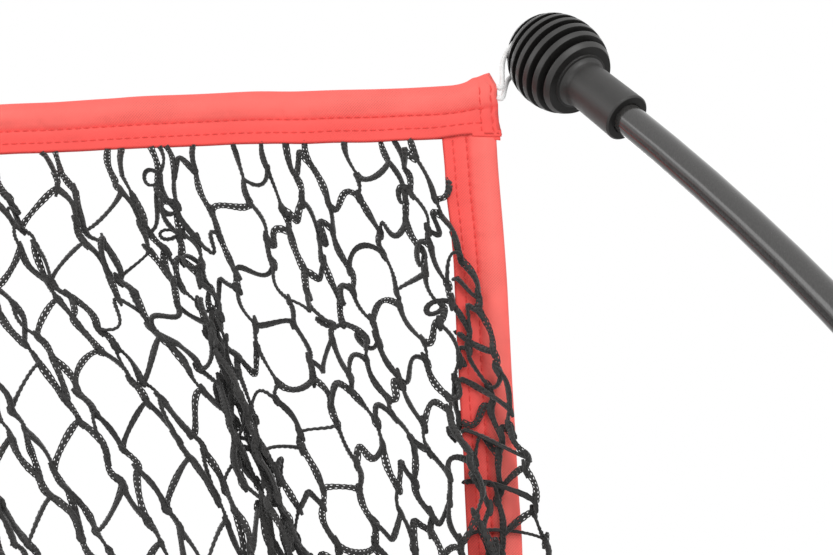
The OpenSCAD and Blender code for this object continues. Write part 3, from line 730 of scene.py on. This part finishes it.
class Strands:
    """All strands of one kind: curves, lengths, the joints they start from, and their turns."""

    def __init__(self, place, sideways, samples):
        lines = unit(np.gradient(place, axis=1))
        draw = np.random.default_rng(78 if sideways else 77)
        if sideways:
            first, second = slack_bars()
            self.curves, self.length = slack_strands(
                place[first], place[second], lines[first], lines[second], samples, draw)
        else:
            first, second = column_bars()
            free = (first[0] > 0) & (first[0] < COLUMNS)
            first, second = (tuple(k[free] for k in ends) for ends in (first, second))
            self.curves, self.length = hanging_strands(place[first], place[second], samples, draw)
        clear_of_border(self.curves)
        inside = self.curves[..., 2] > BAND_LOW
        self.curves[..., 1] = np.where(inside, FACE_Y, self.curves[..., 1])
        self.column, self.row = first
        self.turn = draw.uniform(-1.2, 1.2, size=len(self.curves))
        self.end_turn = self.turn + draw.normal(size=len(self.curves)) * 0.8
        sewn = self.row == 0
        self.turn[sewn] *= 0.6

    def flat(self, mine):
        """Flat strands, as they look from further off."""
        curves = self.curves[mine]
        across, out = strand_frames(curves, self.turn[mine], self.end_turn[mine])
        return tubes(curves, across, out, *FLAT_STRAND, 4)

    def knitted(self, mine, seed):
        return knitted(self.curves[mine], self.length[mine], self.turn[mine], self.end_turn[mine], seed)


def knitted(curves, length, turn, end_turn, seed, profile=1.0):
    """Knitted strands: a row of stitches as a spine, and a fine yarn along each side of it."""
    count, rings = curves.shape[:2]
    draw = np.random.default_rng(seed)
    across, out = strand_frames(curves, turn, end_turn)
    stitches = np.round(length / STITCH)[:, None] * np.linspace(0, 1, rings)[None]
    phase = draw.uniform(0, 2 * np.pi, size=(count, 1))
    spread = 0.90 + 0.14 * np.sin(stitches * 0.9 + phase) + draw.normal(size=(count, 1)) * 0.07
    spread = spread * profile
    left, right = (
        (0.56 + 0.9 * np.abs(np.cos(np.pi * (stitches + shift))) ** 2) * spread * MM
        for shift in (0, 0.22)
    )
    middle = curves + ((right - left) / 2)[..., None] * across
    lift = (0.12 * MM * np.sin(2 * np.pi * stitches))[..., None] * out
    parts = [tubes(middle + lift, across, out, (left + right) / 2, 0.72 * MM, 4)]
    few = slice(None, None, 2)
    for sign in (-1, 1):
        swing = sign * (EDGE_AT * spread + 0.12 * MM * np.sin(2 * np.pi * stitches + sign))
        edge = curves + swing[..., None] * across
        parts.append(tubes(edge[:, few], across[:, few], out[:, few], EDGE_R, EDGE_R, 4))
    return joined(parts)


def joined(parts):
    """Several (points, faces) of the same kinds of faces as one."""
    points, faces, at = [], [[] for _ in parts[0][1]], 0
    for part_points, part_faces in parts:
        points.append(part_points)
        for kind, f in zip(faces, part_faces):
            kind.append(f + at)
        at += len(part_points)
    return np.concatenate(points), [np.concatenate(kind) for kind in faces]


def fused_joints(place, chosen):
    """The wider stretches where a slack bar and a column are knitted together."""
    lines = unit(np.gradient(place, axis=1))[chosen]
    middle = place[chosen]
    count = len(middle)
    draw = np.random.default_rng(91)
    half = draw.uniform(3.2, 5.2, size=count) * MM
    lines = unit(lines + draw.normal(size=(count, 3)) * np.array([0.18, 0.18, 0]))
    along = half[:, None, None] * np.linspace(-1, 1, JOINT_RINGS)[None, :, None]
    centres = middle[:, None] + lines[:, None] * along
    clear_of_border(centres)
    turns = draw.uniform(-1.0, 1.0, size=count)
    taper = 0.3 + 0.9 * np.sin(np.linspace(0, np.pi, JOINT_RINGS))
    body = knitted(centres, 2 * half, turns, turns, 92, taper)
    rings = np.linspace(-1, 1, JOINT_RINGS // 2)
    centres = centres[:, 1:-1:2]
    across, out = strand_frames(centres, turns, turns)
    full = (1 - rings ** 2)[None, :]
    width = (0.4 + 0.8 * full) * draw.uniform(0.8, 1.2, size=(count, 1)) * MM
    core = tubes(centres, across, out, width, (0.4 + 0.55 * full) * MM, 4)
    return joined([body, core])


def make_net():
    place, inner = net_rest()
    place = paired(settle(place, inner, SETTLE_ROUNDS), inner)
    hanging, slack = Strands(place, False, 4), Strands(place, True, 7)
    thirds = (COLUMNS + 1) / 3, (ROWS + 1) / 3
    yarn_area = {}
    for c, column in enumerate(("left", "centre", "right")):
        for r, row in enumerate(("upper", "middle", "lower")):
            parts, run = [], 0
            for kind in (hanging, slack):
                fine = (kind.column < FINE_COLUMNS) & (kind.row < FINE_ROWS)
                here = (kind.column // thirds[0] == c) & (kind.row // thirds[1] == r)
                parts.append(kind.flat(here & ~fine))
                run += kind.length[here & ~fine].sum()
            panel = mesh_object(f"netting_{row}_{column}", *joined(parts), YARN, "net_cord")
            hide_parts(f"net_{row}_{column}")
            yarn_area[panel] = run * 2 * sum(FLAT_STRAND)
    hanging, slack = Strands(place, False, 36), Strands(place, True, 56)
    blocks, corner_pieces = 5, []
    for k in range(blocks):
        low, high = k * FINE_ROWS / blocks, (k + 1) * FINE_ROWS / blocks
        parts = []
        for kind in (hanging, slack):
            mine = (kind.column < FINE_COLUMNS) & (kind.row >= low) & (kind.row < high)
            parts.append(kind.knitted(mine, k))
        corner_pieces.append(mesh_object(f"netting_corner_{k + 1}", *joined(parts), YARN, "net_cord"))
    corner = np.zeros(place.shape[:2], bool)
    corner[1:FINE_COLUMNS, 2:FINE_ROWS] = True
    corner_pieces.append(mesh_object("netting_joints", *fused_joints(place, corner), YARN, "net_cord"))
    for panel, area in yarn_area.items():
        on_it = corner_pieces if panel.name == "netting_upper_left" else []
        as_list(on_it)


# ---- Border ----

PLY = 0.5 * MM    # thickness of the cloth
STITCH_ROWS = (0.45, 0.20)    # rows of stitches, as shares of the width from the open edge
ROW_DEPTH = (1.0, 0.55)    # how deep each row is pulled in
STITCH_PITCH, STITCH_RUN = 4.6 * MM, 3.5 * MM
SEWN_HALF, LOOSE_HALF = 1.0 * MM, 1.85 * MM    # half thickness of the sewn strip and of the loose fold
HEM_ROWS = (9.0 * MM, 3.3 * MM)    # rows of stitches across the end of the top band
TUCK = 35 * MM    # length over which the top band closes over the side band's end


def mark_across(piece, share):
    """Tells the cloth's material where each point lies across its band."""
    layer = piece.data.attributes.new("across", "FLOAT", "POINT")
    layer.data.foreach_set("value", share.astype(np.float32))


def places_along(fine_from, fine_to, coarse, length):
    """Places along a band: close together in its photographed part, further apart elsewhere."""
    return np.concatenate([
        np.arange(0, fine_from, 0.5 * MM), np.arange(fine_from, fine_to, 1.15 * MM),
        np.arange(fine_to, length - coarse / 2, coarse), [length],
    ])


class Sleeve:
    """A folded band of cloth with its fold outermost. A place on it is given by its distance along,
    its share of the width from the open edge, 0, to the fold, 1, and its face, -1 or 1."""

    def __init__(self, start, end, inward, seed):
        self.start, self.inward = np.array(start), np.array(inward, float)
        run = np.array(end) - self.start
        self.length = np.linalg.norm(run)
        self.line = run / self.length
        self.seed = seed

    def edges(self, along):
        """How far the fold and the open edge lie from the band's straight outer line, inwards."""
        fold = 0.30 * MM * waves(along, 26 * MM, self.seed + 1)
        edge = BORDER_W + 0.25 * MM * waves(along, 17 * MM, self.seed + 2)
        return fold, edge

    def half(self, along, share):
        """Half the thickness."""
        u = share * BORDER_W
        loose = smooth(0.50, 0.68, share)
        swell = 0.30 * waves(along + 0.7 * u, 21 * MM, self.seed + 3)
        swell = swell + 0.18 * waves(along, 8 * MM, self.seed + 4)
        thick = SEWN_HALF + loose * (LOOSE_HALF - SEWN_HALF) * (1 + swell)
        for row, deep in zip(STITCH_ROWS, ROW_DEPTH):
            near = deep * np.exp(-((share - row) * BORDER_W / (1.7 * MM)) ** 2)
            thick = thick - near * (0.42 - 0.13 * np.cos(2 * np.pi * along / STITCH_PITCH)) * MM
        beside = np.exp(-((share - 0.52) / 0.11) ** 2)
        pucker = waves(along - 0.5 * u, 3.1 * MM, self.seed + 5) * 0.24 * MM * beside
        bend = np.clip((u - BORDER_W + LOOSE_HALF) / LOOSE_HALF, 0, 1)
        return np.maximum((thick + pucker) * np.sqrt(np.maximum(1 - bend ** 2, 0)), 0.02 * MM)

    def middle(self, along, share):
        """How far the middle of the two plies stands out of the plane."""
        calm = smooth(0, 60 * MM, along) * smooth(0, 60 * MM, self.length - along)
        twist = 0.5 * (share - 0.5) * waves(along, 48 * MM, self.seed + 7)
        return MM * calm * (0.8 * waves(along, 75 * MM, self.seed + 6) + twist)

    def surface(self, along, share, face, lift=0.0):
        """Points of the outer skin, lifted off it or, where lift is below 0, sunk in it."""
        fold, edge = self.edges(along)
        depth = edge + (fold - edge) * share
        out = self.middle(along, share) + face * np.maximum(self.half(along, share) + lift, 0.01 * MM)
        run = along + self.drawn_in(along, share)
        return (self.start + run[..., None] * self.line + depth[..., None] * self.inward
                + out[..., None] * BACK)

    def drawn_in(self, along, share):
        """How far the cloth is shifted along the band."""
        return 0 * along

    def cloth(self, name, along, node):
        """The band itself: its outer skin and, inside it, its inner skin, joined at the open edge."""
        bend = 1 - LOOSE_HALF / BORDER_W
        flat = np.array([0, 0.03, 0.09, 0.13, 0.17, 0.2, 0.23, 0.28, 0.34, 0.39, 0.42, 0.45, 0.48, 0.52,
                         0.58, 0.64, 0.72, 0.8, 0.88])
        turn = np.sin(np.radians((20, 40, 58, 74, 90)))
        share = np.concatenate([flat * bend / 0.92, bend + (1 - bend) * turn])
        skin = [(share, -1, 0), (share[-2::-1], 1, 0), (share[:-1], 1, -PLY), (share[::-1], -1, -PLY)]
        place = [
            self.surface(*np.broadcast_arrays(along[:, None], shares[None]), face, lift)
            for shares, face, lift in skin
        ]
        points = np.concatenate(place, axis=1)
        quads, ends = tube_faces(len(along), points.shape[1])
        piece = mesh_object(name, points.reshape(-1, 3), [quads, ends], CLOTH, "border_fabric")
        across = np.concatenate([shares for shares, _, _ in skin])
        mark_across(piece, np.tile(across, len(along)))
        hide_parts(node)
        return piece

    def stitches(self, along, share, across_band=False):
        """Stitches on both faces, lying along the band or, at its hem, across it."""
        x = np.linspace(-1, 1, 4)
        run = STITCH_RUN / 2 * x
        parts = []
        for face in (-1, 1):
            s, q = np.broadcast_arrays(along[:, None], share[:, None] + 0 * run)
            s, q = (s, q + run / BORDER_W) if across_band else (s + run, q)
            centres = self.surface(s, q, face, (0.10 - 0.34 * x ** 4) * MM)
            across = self.line if across_band else self.inward
            parts.append(tubes(centres, across, BACK, 0.30 * MM, 0.24 * MM, 5))
        return joined(parts)

    def rows(self, first):
        """The two long rows of stitches, from first on."""
        parts = []
        for k, row in enumerate(STITCH_ROWS):
            at = np.arange(first, self.length - 4 * MM, STITCH_PITCH)
            at = at + (0 if k == 0 else 0.3) * STITCH_PITCH
            parts.append(self.stitches(at, row + 0.012 * waves(at, 40 * MM, self.seed + 9)))
        return parts


class TopSleeve(Sleeve):
    """The top band. At its two ends it closes over the side bands and is hemmed, and the pull of the
    elastic draws its corner up."""

    def edges(self, along):
        fold, edge = super().edges(along)
        s = np.minimum(along, self.length - along)
        slack = 2.2 * MM * np.exp(-((s - 45 * MM) / (60 * MM)) ** 2)
        peak = 5.2 * MM * fade(-4 * MM, 24 * MM, s)
        peak = peak + 0.8 * MM * np.exp(-((s - 12 * MM) / (3 * MM)) ** 2)
        wider = 1.4 * MM * fade(60 * MM, 260 * MM, s)
        return fold + slack - peak, edge + slack + wider

    def half(self, along, share):
        s = np.minimum(along, self.length - along)
        thick = super().half(along, share)
        thick = thick + 0.9 * MM * fade(TUCK - 6 * MM, TUCK, s) * fade(0.10, 0.42, share)
        hem = fade(HEM_ROWS[0] - 0.6 * MM, HEM_ROWS[0] + 0.6 * MM, s)
        thick = thick + 0.35 * MM * hem * fade(0.93, 1, share)
        for row in HEM_ROWS:
            deep = 0.40 - 0.12 * np.cos(2 * np.pi * share * BORDER_W / STITCH_PITCH)
            thick = thick - deep * MM * np.exp(-((s - row) / (0.9 * MM)) ** 2) * fade(0.9, 1, share)
        lip = np.sqrt(np.clip(s / (1.5 * MM), 0.06, 1))
        return np.maximum(thick * lip, 0.02 * MM)

    def drawn_in(self, along, share):
        """The end is rounded off at the fold and flares at the open edge."""
        inward = 3.6 * MM * smooth(0.72, 1.0, share) ** 2 - 1.5 * MM * fade(0, 0.16, share)
        inward = inward + 0.35 * MM * np.sin(share * 23)
        first, last = (fade(0, 16 * MM, s) for s in (along, self.length - along))
        return inward * (first - last)

    def hems(self):
        """The stitches across the two ends."""
        share = np.arange(0.07, 0.9, STITCH_PITCH / BORDER_W)
        return [
            self.stitches(np.full(len(share), at), share, across_band=True)
            for row in HEM_ROWS for at in (row, self.length - row)
        ]


class SideSleeve(Sleeve):
    """A side band, from the top down. Near the top its open edge stands further in."""

    def edges(self, along):
        fold, edge = super().edges(along)
        fold = fold + 2.2 * MM * fade(-30 * MM, 90 * MM, along)
        return fold, edge + 3.0 * MM * fade(-10 * MM, 90 * MM, along)

    def half(self, along, share):
        thick = super().half(along, share)
        return np.minimum(thick, (1.25 + 2.0 * smooth(3 * MM, 10 * MM, along)) * MM)


def corner_tucks():
    """Where the folded end of a side band peeps out below the top band, in two layers."""
    s = np.linspace(0.2, 14.0, 15) * MM
    for name, side in SIDES.items():
        for layer, (y, drop_by, out_by) in enumerate(((1.75, 1.3, 1.3), (1.15, 3.2, 0.7))):
            drop = drop_by * MM * np.clip(1 - s / (14.5 * MM), 0, 1) ** 0.7
            edge = FACE_TOP - BORDER_W - 3.2 * MM
            low, high = edge - drop, edge + 2.4 * MM
            x = side * (FACE_HALF + (out_by * MM - s) * (1 + 0.08 * out_by))
            centres = np.stack([x, np.full(len(s), FACE_Y + y * MM), (low + high) / 2], -1)[None]
            points, faces = tubes(centres, UP, BACK, (high - low) / 2, 0.34 * MM, 10)
            piece = mesh_object(f"corner_tuck_{name}_{layer + 1}", points, faces, CLOTH, "border_fabric")
            mark_across(piece, np.full(len(points), 0.12))


def make_border():
    inner_top, inner_low = FACE_TOP - BORDER_W, FACE_LOW + BORDER_W
    # name, kind, start and end (side, height), inward, seed, and the fine part and coarse step in mm
    for name, kind, start, end, inward, seed, steps in (
        ("top", TopSleeve, (-1, FACE_TOP), (1, FACE_TOP), -UP, 11, (12, 420, 5)),
        ("bottom", Sleeve, (-1, FACE_LOW), (1, FACE_LOW), UP, 31, (2, 20, 3.4)),
        ("left", SideSleeve, (-1, inner_top), (-1, inner_low), RIGHT, 51, (2, 300, 5)),
        ("right", SideSleeve, (1, inner_top), (1, inner_low), -RIGHT, 71, (2, 20, 3.4)),
    ):
        sleeve = kind(*((x * FACE_HALF, FACE_Y, z) for x, z in (start, end)), inward, seed)
        along = places_along(*(mm * MM for mm in steps), sleeve.length)
        piece = sleeve.cloth(f"sleeve_{name}", along, f"border_{name}")
        parts = sleeve.rows(HEM_ROWS[0] if name == "top" else 5 * MM)
        if name == "top":
            parts += sleeve.hems()
        thread_piece = mesh_object(f"stitches_{name}", *joined(parts), SEAM_THREAD, "border_fabric")
    corner_tucks()


# ---- Straps ----

STRAP_W, STRAP_T = 25 * MM, 1.2 * MM
STRAPS_AT = (90, 290, 490, 690, 1020)    # distances in mm from the middle, on each side
TAB_TOP = FACE_LOW + 22 * MM
BAR_GAP = 0.1 * MM


def round_bar(degrees, radius):
    """A point beside the front bar: 0 degrees is above it, and 90 behind it."""
    turn = np.radians(np.asarray(degrees, float))
    return np.stack([FACE_Y + radius * np.sin(turn), BAR_Z + radius * np.cos(turn)], -1)


def strap_lines():
    """The two strips of a strap, seen from its side: both hang from the tab behind the border, one
    goes round the front of the bar and one round its back, and their ends overlap."""
    inner = TUBE_R + BAR_GAP + STRAP_T / 2
    outer = inner + STRAP_T + BAR_GAP
    first_y, second_y = (FACE_Y + BORDER_T / 2 + STRAP_T * k + 0.4 * MM for k in (0.5, 1.55))
    down = np.linspace(TAB_TOP, BAR_Z + inner + 3 * MM, 9)
    front = np.concatenate([
        np.stack([np.full(9, first_y), down], -1),
        round_bar(np.linspace(-14, -238, 40), inner),
    ])
    degrees = np.linspace(26, 205, 34)
    radius = inner + (outer - inner) * smooth(92, 116, degrees)
    back = np.concatenate([np.stack([np.full(9, second_y), down], -1), round_bar(degrees, radius)])
    return front, back


def ribbon(x, line, seed):
    """A strip of webbing on a line of (y, z) points, with firm rounded edges."""
    line = np.asarray(line)
    beside = x + 0.3 * MM * waves(np.arange(len(line)), 9, seed)
    centres = np.stack([beside, *line.T], -1)[None]
    tangent = unit(np.gradient(centres, axis=1))
    out = unit(np.cross(tangent, RIGHT))
    half_w, half_t = STRAP_W / 2, STRAP_T / 2
    section = [(-1, 0.3), (-0.97, 0.9), (-0.9, 0.8), (-0.3, 1), (0.3, 1), (0.9, 0.8), (0.97, 0.9), (1, 0.3)]
    section += [(a, -b) for a, b in section[::-1]]
    points = np.stack([centres + half_w * a * RIGHT + half_t * b * out for a, b in section], 2)
    quads, ends = tube_faces(len(line), len(section))
    return points.reshape(-1, 3), [quads, ends]


def box_seam(x, y):
    """The box of stitches, with its crossing, that holds a strap's tab to the border."""
    w, low, high = 9.5 * MM, TAB_TOP - 17 * MM, TAB_TOP - 4 * MM
    corners = np.array([(-w, low), (w, low), (w, high), (-w, high), (-w, low), (w, high), (w, low),
                        (-w, high)])
    runs = []
    for a, b in zip(corners, corners[1:]):
        count = max(2, round(math.hypot(*(b - a)) / (3.2 * MM)))
        runs += [[a + (b - a) * (k + t) / count for t in (0.12, 0.88)] for k in range(count)]
    runs = np.array(runs)
    runs = np.stack([x + runs[..., 0], np.full(runs.shape[:2], y), runs[..., 1]], -1)
    starts, run = runs[:, :1], runs[:, 1:] - runs[:, :1]
    centres = starts + run * np.array([0, 0.3, 0.7, 1])[:, None]
    centres[..., 1] += np.array([-0.25, 0.08, 0.08, -0.25]) * MM
    return tubes(centres, np.cross(unit(run), BACK), BACK, 0.3 * MM, 0.25 * MM, 5)


def make_straps():
    front, back = strap_lines()
    strips, seams = [], []
    for side in SIDES.values():
        for k, at in enumerate(STRAPS_AT):
            x = side * at * MM
            strips += [ribbon(x, front, 10 * k + 1 + side), ribbon(x, back, 10 * k + 5 + side)]
            seams.append(box_seam(x, back[0, 0] + STRAP_T / 2))
    straps = mesh_object("webbing_straps", *joined(strips), WEBBING, "strap_webbing")
    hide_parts("bottom_straps")
    mesh_object("strap_seams", *joined(seams), STRAP_THREAD, "strap_webbing")


# ---- Elastic loops ----

# The loops repeat the route in the part's source, and these are the sizes that it takes from there
BALL_D, BALL_NOSE, BALL_NECK = 50 * MM, 31 * MM, 19.7 * MM
FIN_PITCH, FIN_T, GROOVE_DEPTH, LOOP_GROOVE = 6.65 * MM, 2.95 * MM, 5.5 * MM, 5
BALL_OUT, BALL_UP = 33 * MM, 7 * MM
ELASTIC_D, ELASTIC_DROP, ELASTIC_GAP = 2.6 * MM, 7 * MM, 6 * MM
POLE_SLIP, SEAT = 0.2 * MM, 0.3 * MM
LOOP_TURNS = 20


def rim(z):
    """The ball's radius at a distance along its axis from its middle."""
    return BALL_D / 2 * math.sqrt(1 - (z / BALL_NOSE) ** 2)


def elastic_route(side):
    """Out of the border's end, past the rim of a disc into the groove beside it, round the ball and
    back the same way."""
    ball = np.array([FACE_HALF + BALL_OUT, FACE_Y, FACE_TOP + BALL_UP])
    disc = BALL_NECK - FIN_T / 2 - LOOP_GROOVE * FIN_PITCH
    groove = disc - FIN_PITCH / 2
    radius = rim(groove) - GROOVE_DEPTH + ELASTIC_D / 2 + POLE_SLIP
    centre = ball + groove * TIP
    corner = np.array([FACE_HALF + SEAT, FACE_Y, FACE_TOP - ELASTIC_DROP])
    out = corner - centre
    toward = unit(out - (out @ TIP) * TIP)
    up = np.cross(TIP, toward)
    opening = math.acos(radius / (out @ toward))
    clear = math.sqrt((rim(disc) + POLE_SLIP) ** 2 - radius ** 2)

    def on_loop(turn):
        return centre + radius * (math.cos(turn) * toward + math.sin(turn) * up)

    def leaving(sign):
        return on_loop(sign * opening) + clear * (
            math.sin(opening) * toward - sign * math.cos(opening) * up)

    upper = 1 if up[2] > 0 else -1
    half_gap = np.array([0, 0, ELASTIC_GAP / 2])
    first, last = corner + upper * half_gap, corner - upper * half_gap
    straight = np.array([ELASTIC_D, 0, 0])
    turns = [opening + k * (2 * math.pi - 2 * opening) / LOOP_TURNS for k in range(LOOP_TURNS + 1)]
    route = [first, first + straight, leaving(1), *(on_loop(a) for a in turns), leaving(-1),
             last + straight, last]
    return np.array(route) * np.array([side, 1, 1])


def rounded(route, steps=5):
    """A smooth line through the route's points."""
    before, after = 2 * route[0] - route[1], 2 * route[-1] - route[-2]
    p = np.concatenate([[before], route, [after]])
    t = np.linspace(0, 1, steps, endpoint=False)[:, None]
    runs = []
    for a, b, c, d in zip(p, p[1:], p[2:], p[3:]):
        runs.append(b + t / 2 * (c - a) + t ** 2 * (a - 2.5 * b + 2 * c - d / 2)
                    + t ** 3 * (1.5 * (b - c) + (d - a) / 2))
    return np.concatenate([*runs, route[-1:]])


def make_loops():
    for name, side in SIDES.items():
        path = rounded(elastic_route(side))
        across, out = along_path(path, UP)
        points, faces = tubes(path[None], across, out, ELASTIC_D / 2, ELASTIC_D / 2, 12)
        loop = mesh_object(f"elastic_loop_{name}", points, faces, ELASTIC, "elastic")
        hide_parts(f"corner_loop_{name}")


# ---- Camera, light and stage ----

# The photographed corner is the top one at -X, seen from behind and a little below
CAMERA_FROM_CORNER = (0.0339, 0.7968, -0.2302)
CAMERA_YAW, CAMERA_PITCH, CAMERA_ROLL = 0.0157, 0.1581, -0.0456    # radians
LENS, SENSOR = 67.8, 36    # mm
FLOOR_HALF = 14            # m


def make_camera():
    camera = placed("camera", bpy.data.cameras.new("camera"))
    camera.data.lens, camera.data.sensor_width, camera.data.clip_start = LENS, SENSOR, 0.02
    place = Vector((-FACE_HALF, FACE_Y, FACE_TOP)) + Vector(CAMERA_FROM_CORNER)
    camera.matrix_world = (
        Matrix.Translation(place) @ Matrix.Rotation(math.pi + CAMERA_YAW, 4, "Z")
        @ Matrix.Rotation(math.pi / 2 + CAMERA_PITCH, 4, "X") @ Matrix.Rotation(CAMERA_ROLL, 4, "Z")
    )
    bpy.context.scene.camera = camera


def make_world():
    """White to the camera and in reflections, and dimmer as a light."""
    bpy.context.scene.world = bpy.data.worlds.new("studio")
    n = Nodes(bpy.context.scene.world)
    rays = n.add("LightPath").outputs
    seen = rays["Is Camera Ray"]
    for ray in ("Is Glossy Ray", "Is Transmission Ray"):
        seen = n.math("MAXIMUM", seen, rays[ray])
    n.put(n.tree.nodes["Background"], Color=(1, 1, 1, 1), Strength=n.levels(seen, 0, 1, 0.62, 1.0))


def area_light(name, place, aim, size, power):
    light = placed(name, bpy.data.lights.new(name, "AREA"))
    light.data.shape = "RECTANGLE"
    light.data.size, light.data.size_y = size
    light.data.energy = power
    light.location = place
    light.rotation_euler = (Vector(aim) - Vector(place)).to_track_quat("-Z", "Y").to_euler()


def make_stage():
    n = material("studio_floor")
    grey = n.ramp(n.noise(0.8, 3), (0.3, (0.86, 0.86, 0.86)), (0.7, (0.9, 0.9, 0.9)))
    mesh = bpy.data.meshes.new("floor")
    corners = [(x * FLOOR_HALF, y * FLOOR_HALF, 0) for x, y in ((-1, -1), (1, -1), (1, 1), (-1, 1))]
    mesh.from_pydata(corners, [], [(0, 1, 2, 3)])
    mesh.materials.append(n.finish(Base_Color=grey, Roughness=0.8))
    placed("floor", mesh)
    area_light("key", (-2.4, 3.2, 4.2), (0, -0.3, 1.2), (3.0, 3.0), 95)
    area_light("fill", (3.4, 1.6, 3.0), (0, -0.2, 1.0), (3.0, 3.0), 55)
    area_light("front", (0.4, -4.2, 3.4), (0, -0.4, 1.0), (3.5, 2.5), 60)


bpy.context.scene.view_settings.view_transform = "Standard"
make_camera()
make_loops()
make_world()
make_stage()
dress_cad_nodes()
make_leaves()
make_border()
make_net()
make_straps()
